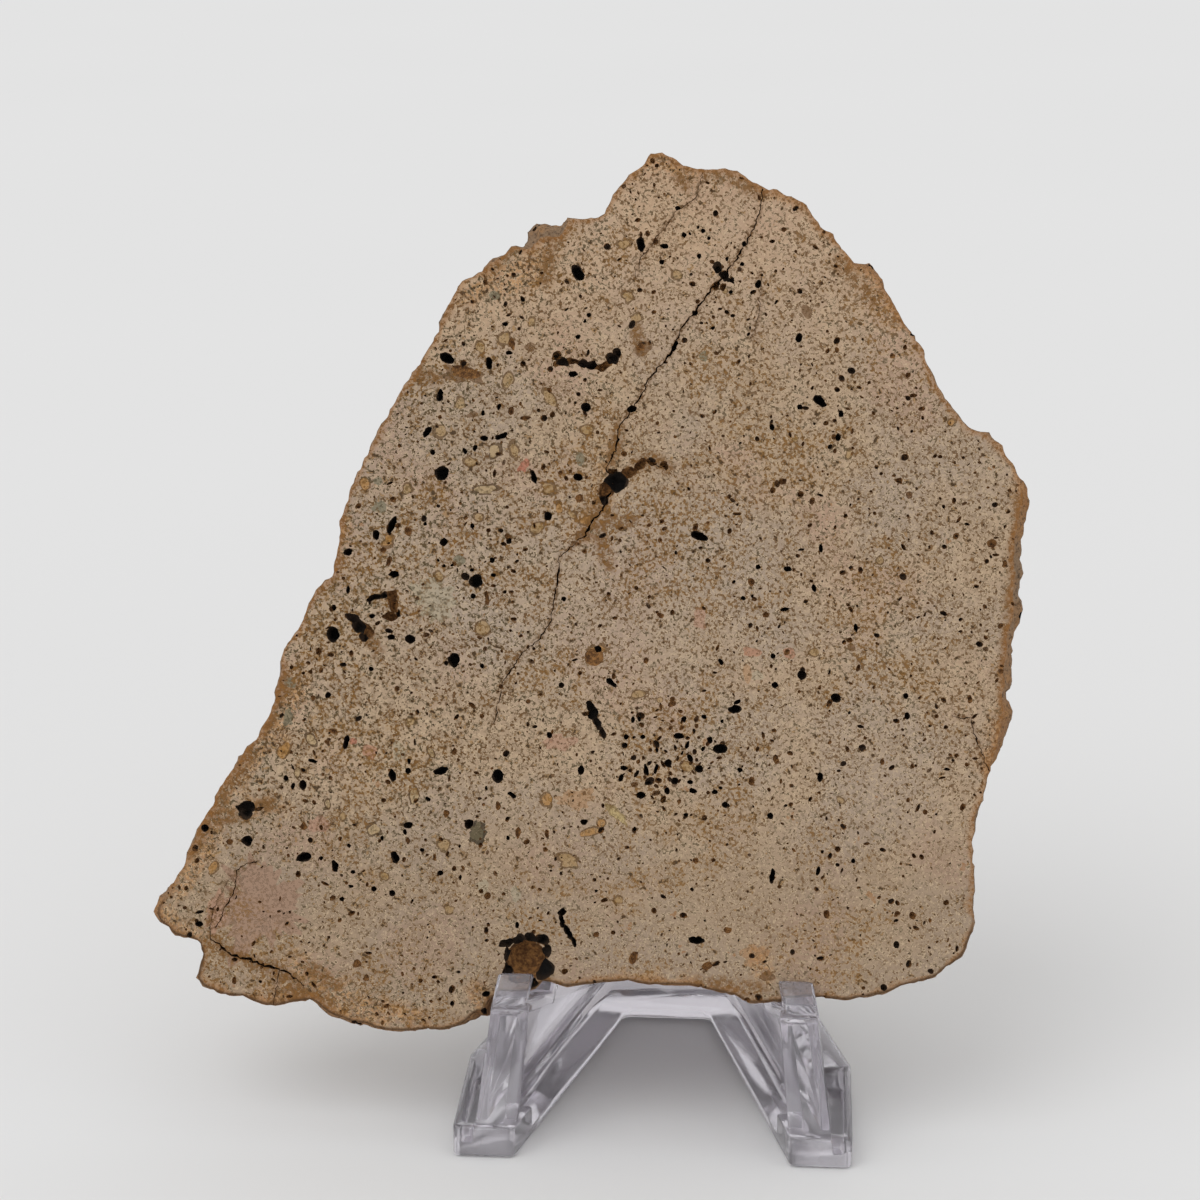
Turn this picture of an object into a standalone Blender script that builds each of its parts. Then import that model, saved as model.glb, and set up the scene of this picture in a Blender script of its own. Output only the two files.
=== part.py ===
"""A sawn slab of suevite on a small one-piece easel of clear plastic.

The numbers are millimetres until mesh_from turns them into metres. X runs to the right,
Y backwards and Z up; the easel's toes stand at y = 0 until everything is centred.
"""

import math

import bmesh
import bpy
from mathutils import Matrix, Vector, noise

MM = 0.001
GAP = 0.3                # air between the slab and every face of the easel that it meets

# Slab
SLAB_THICK = 8.0
SLAB_STEP = 2.0          # longest straight stretch of the broken rim
RIM_ROUGH = 0.7          # how far the broken sides swell and sink
COARSE_WAVES = 0.28      # of that roughness, per millimetre
FINE_WAVES = 0.9
FINE_SHARE = 0.6         # height of the fine waves beside the coarse ones
FACE_EDGE = 6.0          # the roughness fades out in the first sixth of the thickness
FLARE = 0.3              # how far the sides stand out between the sawn faces
RIGHT_FLARE = 1.5        # and on the upper right, where the side shows from the front
RIGHT_FLARE_X = 32.0
RIGHT_FLARE_Y = 26.0
FLARE_END = 0.72         # the share of the thickness where the side stops drawing in
HELD_LEFT = -21.0        # the stretch of the rim between the hooks
HELD_RIGHT = 19.5
HELD_HEIGHT = 6.0
HELD_HOLLOW = 0.35       # how far the side sinks there
CAVITY_RISE = 0.2        # share of a cavity's depth that its cutter's middle is above the face
EGG_TURN = Matrix.Rotation(0.35, 3, (0.5, 0.6, 0.62))      # so that no facet lies in the face
LEAN = math.radians(18.0)

# Easel: the base
HALF_WIDTH = 23.0
HALF_GAP_FRONT = 15.9
HALF_GAP_BACK = 5.4
BRIDGE_Y = 38.4
SHOULDER_Y = 19.1
BACK_Y = 46.0
HALF_BACK = 15.4
BASE_HEIGHT = 3.7
FLANGE_THICK = 1.2
BRIDGE_THICK = 2.0
COLUMN_DEPTH = 5.8       # the solid front block of each foot
POCKET_WALL = 0.8
POCKET_FRONT = 1.2
POCKET_BACK = 17.6
POCKET_INNER = 0.25      # between the pocket and the web
TOOL_TOP = BASE_HEIGHT + 5.0         # cutters of the base reach this high
REAR_LEDGE = 1.6         # the thick strip along the base's back edge
WALL_THICK = 1.6         # the wall between the webs, behind the slab
WALL_BACK = BACK_Y - 1.2
WALL_FOOT = 1.0
WALL_BEND = 5.0          # height where it starts to lean
WALL_DROP = 2.0          # from the webs' highest corner down to its top

# Easel: the webs, posts, hooks and rails
WEB_X = 19.65            # web centre above the toe line
WEB_INWARD = (HALF_GAP_FRONT - HALF_GAP_BACK) / BRIDGE_Y
WEB_LEAN_IN = 0.112      # webs and posts draw together as they rise
WEB_THICK = 1.7
WEB_ROOT = BASE_HEIGHT - 0.7         # height inside the base where the webs start
WEB_OVERLAP = 0.05       # past its own thickness on each side, so that no faces are flush
WEB_FRONT = 3.5          # y of the front edge, at the base
WEB_FRONT_HIGH = 5.4     # and under the seat
WEB_FRONT_DROP = 2.0     # from the seat down to that point
WEB_BACK = BACK_Y - 1.0
WEB_HEEL = 2.0           # height of the webs' upright back edge
WEB_APEX = 3.0           # how far the webs' highest corner stands behind the rail
WEB_APEX_DROP = 1.5      # and how far it is below the rail's end
WALL_INTO_WEB = 0.2      # share of a web's thickness that the rear wall runs into it
POST_X = 18.05
POST_WIDTH_LOW = 4.8
POST_WIDTH_HIGH = 4.3
POST_FOOT = 0.6          # height inside the base where the posts start
POST_FOOT_Y = (0.6, 5.4)             # front and back of a post at its foot
POST_HEAD = 0.2          # how far the posts run up past the seat's corner
POST_HEAD_Y = (3.6, 5.8)             # front and back of a post at its head
POST_KNEE = (6.05, -1.3)             # the corner of its back: y, and height from the seat
STRIP_WIDTH = 3.8        # hook, seat and rail
LIP_THICK = 1.5
LIP_HEIGHT = 3.1
RAIL_THICK = 1.6
RAIL_LENGTH = 36.0
CHANNEL = SLAB_THICK + 2 * GAP
SEAT = Vector((0.0, 6.7, 16.8))      # where the seat meets the hooks' inner face
EDGE_ROUND = 0.28

UP_SLAB = Vector((0.0, math.sin(LEAN), math.cos(LEAN)))
THROUGH_SLAB = Vector((0.0, math.cos(LEAN), -math.sin(LEAN)))
FACE = SEAT + GAP * THROUGH_SLAB + GAP * UP_SLAB

# The slab was drawn on an upright tracing glass of square paper, 1200 squares a side. The eye
# looked through its middle square from EYE, turned TURN to the left and dipped DIP.
GLASS_MIDDLE = 600.0
GLASS_REACH = 3000.0     # squares from the eye to the glass
EYE = Vector((15.2, -310.0, 164.4))
TURN = math.radians(3.9)
DIP = math.radians(17.3)

RIM_TOP = [
    (545, 219), (558, 222), (567, 217), (583, 219), (599, 218), (604, 213), (612, 194), (625, 178),
    (641, 165), (651, 154), (662, 152), (673, 157), (683, 165), (705, 169), (721, 167), (737, 171),
    (753, 181), (769, 190), (777, 189), (791, 196), (807, 204), (815, 218), (820, 227), (833, 234),
    (842, 248), (855, 261), (869, 262), (881, 275), (884, 286), (897, 309), (909, 329), (924, 350),
]
RIM_RIGHT = [
    (928, 364), (935, 380), (948, 401), (963, 422), (976, 430), (989, 433), (1002, 446),
    (1013, 463), (1018, 474), (1027, 484), (1031, 500), (1030, 516), (1026, 524), (1023, 545),
    (1025, 573), (1022, 592), (1022, 618), (1016, 637), (1014, 665), (1011, 697), (1014, 716),
    (1009, 732), (1003, 751), (992, 767), (987, 783), (983, 804), (977, 815), (973, 847),
    (975, 879), (974, 904), (976, 923), (970, 940), (963, 957), (944, 970), (932, 979), (906, 986),
]
RIM_FOOT = [
    (887, 992), (868, 998), (845, 1002), (817, 999), (797, 1003), (769, 1004), (750, 1005),
    (734, 998), (712, 992), (689, 987), (648, 987), (628, 982), (612, 984), (586, 986), (567, 989),
    (551, 984), (543, 982), (536, 990), (526, 996), (503, 996), (492, 1000), (489, 1019),
    (481, 1019), (470, 1025), (452, 1029), (427, 1030), (401, 1032), (370, 1030), (347, 1027),
    (334, 1019), (322, 1011), (309, 1000), (293, 1003), (275, 1007), (258, 1003), (242, 997),
]
RIM_LEFT = [
    (216, 994), (202, 987), (196, 978), (200, 965), (202, 954), (200, 944), (188, 938), (175, 935),
    (159, 923), (153, 912), (159, 898), (172, 882), (185, 863), (186, 853), (193, 837), (204, 815),
    (216, 793), (226, 774), (239, 754), (255, 739), (268, 716), (274, 697), (279, 672), (282, 652),
    (287, 643), (298, 630), (306, 608), (315, 590), (331, 576), (336, 557), (339, 541), (338, 525),
    (347, 500), (352, 482), (363, 462), (373, 439), (379, 427), (392, 406), (401, 388), (414, 369),
    (427, 350), (438, 331), (441, 318), (454, 293), (459, 283), (475, 269), (484, 261), (507, 248),
    (519, 242), (526, 229), (534, 220),
]

# Larger cavities of the sawn face: place on the glass, half width and half height in
# millimetres, depth, and tilt in degrees anticlockwise.
CAVITIES = [
    (614, 483, 1.5, 1.2, 2.2, 20), (568, 360, 1.9, 0.8, 1.8, 0), (600, 366, 2.1, 0.9, 1.8, 10),
    (723, 277, 1.2, 1.0, 1.8, 45), (442, 473, 0.9, 0.8, 1.6, 0), (360, 627, 1.2, 1.2, 1.8, 30),
    (388, 603, 1.6, 1.0, 1.6, 60), (333, 634, 0.8, 0.9, 1.5, 0), (247, 809, 1.3, 0.9, 1.6, 0),
    (594, 719, 0.8, 1.7, 1.6, 15), (820, 401, 0.9, 0.6, 1.4, -45), (476, 831, 0.9, 1.3, 0.6, 0),
    (524, 952, 2.3, 2.4, 3.2, 0),
]


def sight(x, y):
    """Follow the eye's line through a glass square to the slab's sawn face, in millimetres."""
    ahead = Vector((-math.sin(TURN) * math.cos(DIP), math.cos(TURN) * math.cos(DIP), -math.sin(DIP)))
    aside = Vector((math.cos(TURN), math.sin(TURN), 0.0))
    line = ahead * GLASS_REACH + aside * (x - GLASS_MIDDLE) + aside.cross(ahead) * (GLASS_MIDDLE - y)
    return EYE + line * ((FACE - EYE).dot(THROUGH_SLAB) / line.dot(THROUGH_SLAB))


def collection(name):
    made = bpy.data.collections.new(name)
    bpy.context.scene.collection.children.link(made)
    return made


def finish(name, colour, roughness, transmission=0.0, ior=1.5):
    material = bpy.data.materials.new(name)
    material.use_nodes = True
    shader = material.node_tree.nodes["Principled BSDF"]
    shader.inputs["Base Color"].default_value = (*colour, 1.0)
    shader.inputs["Roughness"].default_value = roughness
    shader.inputs["Metallic"].default_value = 0.0
    shader.inputs["Transmission Weight"].default_value = transmission
    shader.inputs["IOR"].default_value = ior
    return material


def mesh_from(bm, name, home):
    """Make an object, in metres, from a bmesh in millimetres."""
    bmesh.ops.scale(bm, vec=(MM, MM, MM), verts=bm.verts)
    bmesh.ops.recalc_face_normals(bm, faces=bm.faces)
    mesh = bpy.data.meshes.new(name)
    bm.to_mesh(mesh)
    bm.free()
    made = bpy.data.objects.new(name, mesh)
    home.objects.link(made)
    return made


def prism(name, outline, low, high, home, place):
    """Extrude a flat outline from low to high, and put each point where place(u, v, w) says."""
    curve = bpy.data.curves.new(name, "CURVE")
    curve.dimensions = "2D"
    curve.fill_mode = "BOTH"
    curve.extrude = (high - low) / 2
    spline = curve.splines.new("POLY")
    spline.points.add(len(outline) - 1)
    spline.use_cyclic_u = True
    for point, (u, v) in zip(spline.points, outline):
        point.co = (u, v, 0.0, 1.0)
    drawn = bpy.data.objects.new(name + "_outline", curve)
    home.objects.link(drawn)
    bpy.context.view_layer.update()
    solid = bpy.data.meshes.new_from_object(drawn.evaluated_get(bpy.context.evaluated_depsgraph_get()))
    bpy.data.objects.remove(drawn)
    bpy.data.curves.remove(curve)
    bm = bmesh.new()
    bm.from_mesh(solid)
    bpy.data.meshes.remove(solid)
    bmesh.ops.remove_doubles(bm, verts=bm.verts, dist=0.001)
    middle = (low + high) / 2
    for vert in bm.verts:
        vert.co = Vector(place(vert.co.x, vert.co.y, vert.co.z + middle))
    bmesh.ops.dissolve_limit(bm, angle_limit=math.radians(0.2), verts=bm.verts, edges=bm.edges)
    return mesh_from(bm, name, home)


def soften(piece, width=EDGE_ROUND):
    """Round the piece's edges, as a mould does."""
    bevel = piece.modifiers.new("moulded_edges", "BEVEL")
    bevel.width = width * MM
    bevel.segments = 2
    bevel.limit_method = "ANGLE"
    bevel.angle_limit = math.radians(40.0)
    return piece


def carve(body, tool, operation):
    """Add a Boolean that joins the tool to the body or cuts it away."""
    tool.hide_render = True
    tool.display_type = "WIRE"
    modifier = body.modifiers.new(operation.lower() + "_" + tool.name, "BOOLEAN")
    modifier.operation = operation
    modifier.solver = "EXACT"
    modifier.object = tool


def rounded(corners, steps=4):
    """Turn (x, y, radius) corners into points, with an arc at each corner that has a radius."""
    points = []
    for index, (x, y, radius) in enumerate(corners):
        here = Vector((x, y))
        if radius == 0.0:
            points.append((x, y))
            continue
        before = (Vector(corners[index - 1][:2]) - here).normalized()
        after = (Vector(corners[(index + 1) % len(corners)][:2]) - here).normalized()
        half = before.angle(after) / 2
        centre = here + (before + after).normalized() * (radius / math.sin(half))
        first = here + before * (radius / math.tan(half)) - centre
        last = here + after * (radius / math.tan(half)) - centre
        start = math.atan2(first.y, first.x)
        sweep = math.atan2(first.cross(last), first.dot(last))
        for step in range(steps + 1):
            angle = start + sweep * step / steps
            points.append((centre.x + radius * math.cos(angle), centre.y + radius * math.sin(angle)))
    return points


def leaned(through, up):
    """A point of the side view, given along the slab's thickness and up its face."""
    spot = SEAT + through * THROUGH_SLAB + up * UP_SLAB
    return (spot.y, spot.z)


# ---------------------------------------------------------------- the easel


def flat(u, v, w):
    return (u, v, w)


def web_centre(y, z):
    return WEB_X - WEB_INWARD * y - WEB_LEAN_IN * (z - BASE_HEIGHT)


def along_web(side):
    return lambda y, z, across: (side * (web_centre(y, z) + across), y, z)


def along_strip(side):
    """The hook, seat and rail follow the post at the front and draw in with the web behind it."""
    offset = post_centre(SEAT.z) - web_centre(SEAT.y, SEAT.z)
    run = CHANNEL + RAIL_THICK

    def place(y, z, across):
        behind = min(1.0, max(0.0, (y - SEAT.y + LIP_THICK) / run))
        return (side * (web_centre(y, z) + offset * (1.0 - behind) + across), y, z)
    return place


def post_centre(z):
    return POST_X - WEB_LEAN_IN * (z - BASE_HEIGHT)


def along_post(side):
    def place(y, z, across):
        share = (z - BASE_HEIGHT) / (SEAT.z - BASE_HEIGHT)
        width = POST_WIDTH_LOW + (POST_WIDTH_HIGH - POST_WIDTH_LOW) * share
        return (side * (post_centre(z) + across * width), y, z)
    return place


def between_webs(y, z, share):
    return (share * (web_centre(y, z) + WALL_INTO_WEB * WEB_THICK), y, z)


def easel_base(home):
    half = [
        (HALF_GAP_FRONT, 0.0, 0.9), (HALF_WIDTH, 0.0, 0.9), (HALF_WIDTH, SHOULDER_Y, 2.5),
        (HALF_BACK, BACK_Y, 2.5),
    ]
    notch = [(-HALF_GAP_FRONT, 0.0, 0.9), (-HALF_GAP_BACK, BRIDGE_Y, 1.2), (HALF_GAP_BACK, BRIDGE_Y, 1.2)]
    other = [(-x, y, r) for x, y, r in reversed(half[1:])]
    return prism("stand", rounded(half + other + notch), 0.0, BASE_HEIGHT, home, flat)


def well_width(y, z, share):
    """Across the hollow between the webs, which narrows as the webs draw together."""
    return (share * (WEB_X - WEB_THICK / 2 - WEB_INWARD * y), y, z)


def pocket_outline(side):
    inner = WEB_X + WEB_THICK / 2 + POCKET_INNER
    corners = [
        (inner - WEB_INWARD * POCKET_FRONT, POCKET_FRONT, 0.5),
        (HALF_WIDTH - POCKET_WALL, POCKET_FRONT, 0.8),
        (HALF_WIDTH - POCKET_WALL, POCKET_BACK, 0.8),
        (inner - WEB_INWARD * POCKET_BACK, POCKET_BACK, 0.5),
    ]
    return [(side * x, y) for x, y in rounded(corners)]


def web_apex():
    """The webs' highest corner in the side view."""
    return leaned(CHANNEL + RAIL_THICK + WEB_APEX, RAIL_LENGTH - WEB_APEX_DROP)


def easel_side(side, tools):
    """One web with its post, hook, seat and rail."""
    tag = "_right" if side > 0 else "_left"
    half_rail = RAIL_THICK / 2
    web = [
        (WEB_FRONT, WEB_ROOT), (WEB_FRONT_HIGH, SEAT.z - WEB_FRONT_DROP), leaned(1.0, -half_rail),
        leaned(CHANNEL + half_rail, -half_rail), leaned(CHANNEL + half_rail, RAIL_LENGTH - WEB_APEX_DROP),
        web_apex(), (WEB_BACK, WEB_ROOT + WEB_HEEL), (WEB_BACK, WEB_ROOT),
    ]
    head = SEAT.z + POST_HEAD
    post = [
        (POST_FOOT_Y[0], POST_FOOT), (POST_HEAD_Y[0], head), (POST_HEAD_Y[1], head),
        (POST_KNEE[0], SEAT.z + POST_KNEE[1]), (POST_FOOT_Y[1], POST_FOOT),
    ]
    strip = [
        leaned(-LIP_THICK, -RAIL_THICK), leaned(-LIP_THICK, LIP_HEIGHT), leaned(0.0, LIP_HEIGHT),
        leaned(0.0, 0.0), leaned(CHANNEL, 0.0), leaned(CHANNEL, RAIL_LENGTH),
        leaned(CHANNEL + RAIL_THICK, RAIL_LENGTH), leaned(CHANNEL + RAIL_THICK, -RAIL_THICK),
    ]
    half_web, half_strip = WEB_THICK / 2 + WEB_OVERLAP, STRIP_WIDTH / 2
    return [
        prism("web" + tag, web, -half_web, half_web, tools, along_web(side)),
        prism("post" + tag, post, -0.5, 0.5, tools, along_post(side)),
        prism("strip" + tag, strip, -half_strip, half_strip, tools, along_strip(side)),
    ]


def easel(home, tools, material):
    stand = soften(easel_base(home))
    stand.data.materials.append(material)
    for side, tag in ((1, "_right"), (-1, "_left")):
        pocket = prism("pocket" + tag, pocket_outline(side), FLANGE_THICK, TOOL_TOP, tools, flat)
        carve(stand, soften(pocket), "DIFFERENCE")
    well = [
        (COLUMN_DEPTH, FLANGE_THICK), (BRIDGE_Y, FLANGE_THICK), (BRIDGE_Y, BRIDGE_THICK),
        (BACK_Y - REAR_LEDGE, BRIDGE_THICK), (BACK_Y - REAR_LEDGE, TOOL_TOP), (COLUMN_DEPTH, TOOL_TOP),
    ]
    carve(stand, prism("well", well, -1.0, 1.0, tools, well_width), "DIFFERENCE")
    for side in (1, -1):
        for piece in easel_side(side, tools):
            carve(stand, soften(piece), "UNION")
    apex_y, apex_z = web_apex()
    top = apex_z - WALL_DROP
    wall = [
        (WALL_BACK, WALL_BEND), (apex_y, top), (apex_y - WALL_THICK, top),
        (WALL_BACK - WALL_THICK, WALL_BEND), (WALL_BACK - WALL_THICK, WALL_FOOT), (WALL_BACK, WALL_FOOT),
    ]
    carve(stand, prism("rear_wall", wall, -1.0, 1.0, tools, between_webs), "UNION")
    return stand


# ---------------------------------------------------------------- the slab


def rim_points():
    """The rim in the slab's own plane (x, up), with long stretches divided."""
    drawn = [sight(x, y) - FACE for x, y in RIM_TOP + RIM_RIGHT + RIM_FOOT + RIM_LEFT]
    corners = [Vector((point.x, point.dot(UP_SLAB))) for point in drawn]
    points = []
    for here, after in zip(corners, corners[1:] + corners[:1]):
        count = max(1, math.ceil((after - here).length / SLAB_STEP))
        points += [here.lerp(after, step / count) for step in range(count)]
    return points


def outward(points):
    """The direction out of the rim at each of its points, which run clockwise."""
    around = []
    for index in range(len(points)):
        tangent = points[(index + 1) % len(points)] - points[index - 1]
        around.append(Vector((-tangent.y, tangent.x)).normalized())
    return around


def swelling(point, depth):
    """How far the broken side stands out from the rim, at a share of the thickness from 0 to 1."""
    if HELD_LEFT < point.x < HELD_RIGHT and point.y < HELD_HEIGHT:
        return -HELD_HOLLOW * (math.sin(math.pi * depth) + depth)
    spot = Vector((point.x, point.y, depth * SLAB_THICK))
    rough = noise.noise(spot * COARSE_WAVES)
    rough += FINE_SHARE * noise.noise((spot + Vector((40.0, 0.0, 0.0))) * FINE_WAVES)
    flare = RIGHT_FLARE if point.x > RIGHT_FLARE_X and point.y > RIGHT_FLARE_Y else FLARE
    swell = flare * math.sin(math.pi * min(depth, FLARE_END))
    return RIM_ROUGH * rough * min(1.0, FACE_EDGE * depth) + swell


def slab(home, tools, material):
    points = rim_points()
    directions = outward(points)
    bm = bmesh.new()
    depths = (0.0, 0.12, 0.38, 0.68, 0.9, 1.0)
    rings = []
    for depth in depths:
        ring = []
        for point, direction in zip(points, directions):
            out = point + direction * swelling(point, depth)
            place = FACE + Vector((out.x, 0.0, 0.0)) + out.y * UP_SLAB
            ring.append(bm.verts.new(place + depth * SLAB_THICK * THROUGH_SLAB))
        rings.append(ring)
    for near, far in zip(rings, rings[1:]):
        for index in range(len(near)):
            bm.faces.new((near[index - 1], near[index], far[index], far[index - 1]))
    bm.faces.new(rings[0])
    bm.faces.new(reversed(rings[-1]))
    stone = mesh_from(bm, "slab", home)
    stone.data.materials.append(material)
    for turn, group in enumerate((CAVITIES[::2], CAVITIES[1::2])):
        carve(stone, hollows(f"cavities_{turn}", group, tools), "DIFFERENCE")
    return stone


def hollows(name, cavities, home):
    """Rough egg shapes that stand a little proud of the sawn face, as one cutter."""
    bm = bmesh.new()
    for x, y, half_width, half_height, depth, tilt in cavities:
        egg = bmesh.ops.create_icosphere(bm, subdivisions=2, radius=1.0)["verts"]
        bmesh.ops.rotate(bm, verts=egg, matrix=EGG_TURN)
        centre = sight(x, y) - CAVITY_RISE * depth * THROUGH_SLAB
        turn = Matrix.Rotation(math.radians(tilt), 2)
        for vert in egg:
            flat_part = turn @ Vector((vert.co.x * half_width, vert.co.y * half_height))
            vert.co = centre + Vector((flat_part.x, 0.0, 0.0)) + flat_part.y * UP_SLAB \
                + vert.co.z * depth * THROUGH_SLAB
    return mesh_from(bm, name, home)


# ---------------------------------------------------------------- the assembly


def centre_on_floor(pieces):
    """Move the pieces together so that the box round them stands centred on the origin."""
    bpy.context.view_layer.update()
    graph = bpy.context.evaluated_depsgraph_get()
    corners = []
    for piece in pieces:
        seen = piece.evaluated_get(graph)
        corners += [seen.matrix_world @ vert.co for vert in seen.data.vertices]
    low = [min(corner[axis] for corner in corners) for axis in range(3)]
    high = [max(corner[axis] for corner in corners) for axis in range(3)]
    shift = Vector((-(low[0] + high[0]) / 2, -(low[1] + high[1]) / 2, -low[2]))
    print("box in mm", [round((b - a) / MM, 2) for a, b in zip(low, high)])
    print("moved by mm", [round(value / MM, 3) for value in shift])
    for thing in bpy.data.objects:
        thing.location = shift


def main():
    for thing in list(bpy.data.objects):
        bpy.data.objects.remove(thing, do_unlink=True)
    home = collection("suevite_on_stand")
    tools = collection("cutters")
    tools.hide_render = True
    stone = slab(home, tools, finish("suevite_stone", (0.42, 0.32, 0.23), 0.85))
    clear = finish("clear_plastic", (0.93, 0.92, 0.96), 0.04, transmission=1.0, ior=1.49)
    stand = easel(home, tools, clear)
    centre_on_floor([stone, stand])


main()
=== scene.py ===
# %% [markdown]
# # A sawn slab of suevite on a clear easel
#
# Suevite is the rock that an impact leaves: ash, melt and broken pieces of older stone, baked
# together and full of gas bubbles. This one is a collector's slice. A saw has cut it flat on
# both sides, its edges are still broken, and it leans in a small easel moulded in one piece
# from clear plastic.
#
# The script loads the finished frame of the two pieces, and makes their surfaces: first the
# stone with its pores, caverns and cracks as real hollows, then its colours, and then the
# plastic. The stone is worked lying flat, in millimetres, and is stood up at the end.

import math
import random
from collections import namedtuple

import bmesh
import bpy
from mathutils import Matrix, Vector, noise
from mathutils.geometry import delaunay_2d_cdt
from mathutils.kdtree import KDTree


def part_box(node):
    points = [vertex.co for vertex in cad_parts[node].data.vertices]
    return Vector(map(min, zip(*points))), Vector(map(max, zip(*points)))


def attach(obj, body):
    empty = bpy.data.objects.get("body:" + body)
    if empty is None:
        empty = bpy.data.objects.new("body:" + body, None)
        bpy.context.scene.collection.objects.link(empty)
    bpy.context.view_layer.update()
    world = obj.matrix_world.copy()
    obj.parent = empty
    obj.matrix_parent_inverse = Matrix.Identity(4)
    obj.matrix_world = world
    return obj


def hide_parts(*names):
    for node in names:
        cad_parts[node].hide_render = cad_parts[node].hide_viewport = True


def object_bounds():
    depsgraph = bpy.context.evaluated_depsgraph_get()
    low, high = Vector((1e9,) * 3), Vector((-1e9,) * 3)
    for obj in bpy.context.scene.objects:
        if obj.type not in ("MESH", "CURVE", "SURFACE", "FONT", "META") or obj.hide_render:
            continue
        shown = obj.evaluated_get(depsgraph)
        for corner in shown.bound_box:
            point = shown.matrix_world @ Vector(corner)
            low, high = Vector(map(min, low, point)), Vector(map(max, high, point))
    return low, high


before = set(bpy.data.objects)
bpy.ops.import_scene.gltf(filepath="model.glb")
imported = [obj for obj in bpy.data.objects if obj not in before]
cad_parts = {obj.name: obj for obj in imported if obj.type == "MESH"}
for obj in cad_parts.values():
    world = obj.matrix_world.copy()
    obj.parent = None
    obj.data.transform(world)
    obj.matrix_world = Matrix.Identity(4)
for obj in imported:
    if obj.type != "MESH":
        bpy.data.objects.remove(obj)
cad_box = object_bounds()
stand_low, stand_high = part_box("stand")
print("frame box in mm", [[round(value * 1000, 1) for value in corner] for corner in cad_box])

# %% [markdown]
# ## The camera
#
# The camera stands in front of the easel, a little to the right of its middle, and looks down
# on it. A long lens keeps the perspective flat. Think of a pane across its line of sight, just
# as large as its view and ruled into 1200 by 1200 squares that are counted from the upper left
# corner. A place on the slab that no rule gives, such as a pore or the run of a crack, is
# written down below as the square that it is seen through.

# %% Camera
MM = 0.001
EYE_FROM_TOES = Vector((15.2, -310.0, 164.4)) * MM
TURN = math.radians(3.9)         # to the left
DIP = math.radians(17.3)
PANE_SIDE = 1200                 # squares
PANE_REACH = 3000                # squares from the eye to the pane
SENSOR = 36.0


def in_scene(name, data):
    """A new object of this data, linked to the scene."""
    made = bpy.data.objects.new(name, data)
    bpy.context.scene.collection.objects.link(made)
    return made


toes = Vector(((stand_low.x + stand_high.x) / 2, stand_low.y, stand_low.z))
eye = toes + EYE_FROM_TOES
ahead = Vector((-math.sin(TURN) * math.cos(DIP), math.cos(TURN) * math.cos(DIP), -math.sin(DIP)))
lens = bpy.data.cameras.new("camera")
lens.sensor_width = SENSOR
lens.lens = SENSOR * PANE_REACH / PANE_SIDE
camera = in_scene("camera", lens)
camera.rotation_mode = "QUATERNION"
camera.location = eye
camera.rotation_quaternion = ahead.to_track_quat("-Z", "Y")
bpy.context.scene.camera = camera
print("camera at", [round(value, 4) for value in eye], "lens", lens.lens)

# %% [markdown]
# ## Laying the slab flat
#
# It is easier to work on a slab that lies on the bench. In the flat frame X runs to the right,
# Y up the sawn face and Z out of it, in millimetres, with the sawn face at Z = 0. One matrix
# stands the finished slab up again. The eye's lines through the pane are followed in the flat
# frame too, so a square of the pane becomes a place on the sawn face.

# %% The flat frame
LEAN = math.radians(18.0)
stand_up = Matrix.Rotation(math.radians(90.0) - LEAN, 4, "X") @ Matrix.Scale(MM, 4)
lie_down = stand_up.inverted()
cad_points = [lie_down @ vertex.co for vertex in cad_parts["slab"].data.vertices]
face_level = max(point.z for point in cad_points)
thickness = face_level - min(point.z for point in cad_points)
stand_up = stand_up @ Matrix.Translation((0.0, 0.0, face_level))
lie_down = stand_up.inverted()


def sight(x, y):
    """Follow the eye's line through a square of the pane to the sawn face, in the flat frame."""
    aside = Vector((math.cos(TURN), math.sin(TURN), 0.0))
    middle = PANE_SIDE / 2
    line = ahead * PANE_REACH + aside * (x - middle) + aside.cross(ahead) * (middle - y)
    start, along = lie_down @ eye, lie_down.to_3x3() @ line
    return start - along * (start.z / along.z)


def on_face(x, y):
    """The same place as only X and Y of the sawn face."""
    return sight(x, y).to_2d()


SQUARE = (sight(601, 600) - sight(600, 600)).length      # one square of the pane, on the face
print("slab", round(thickness, 2), "mm thick; one square is", round(SQUARE, 4), "mm")

# %% [markdown]
# ## The outline
#
# The frame's slab already has the right outline, in coarser steps. Its sawn face is the set of
# triangles at Z = 0, and the longest loop of edges round them is the rim. A broken rim is
# rough down to a fraction of a millimetre, so the loop is divided finely, and noise moves each
# point in or out.

# %% Read the rim from the frame
def face_outline(level, tolerance=0.01):
    """The outer loop of the frame's slab at one level of the flat frame, anticlockwise."""
    bm = bmesh.new()
    bm.from_mesh(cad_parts["slab"].data)
    bmesh.ops.transform(bm, matrix=lie_down, verts=bm.verts)
    bmesh.ops.remove_doubles(bm, verts=bm.verts, dist=0.001)
    beside = {}
    for edge in bm.edges:
        flat = [all(abs(vert.co.z - level) < tolerance for vert in face.verts) for face in edge.link_faces]
        if sum(flat) == 1:
            for here, there in (edge.verts, reversed(edge.verts)):
                beside.setdefault(here, []).append(there)
    loops = []
    while beside:
        here = next(iter(beside))
        loop = []
        while here in beside:
            loop.append(here.co.to_2d())
            here = next((there for there in beside.pop(here) if there in beside), None)
        loops.append(loop)
    bm.free()
    loop = max(loops, key=len)
    turned = sum(a.cross(b) for a, b in zip(loop, loop[1:] + loop[:1]))
    return loop if turned > 0 else loop[::-1]


rim = face_outline(0.0)
print("rim of", len(rim), "points")

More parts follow.
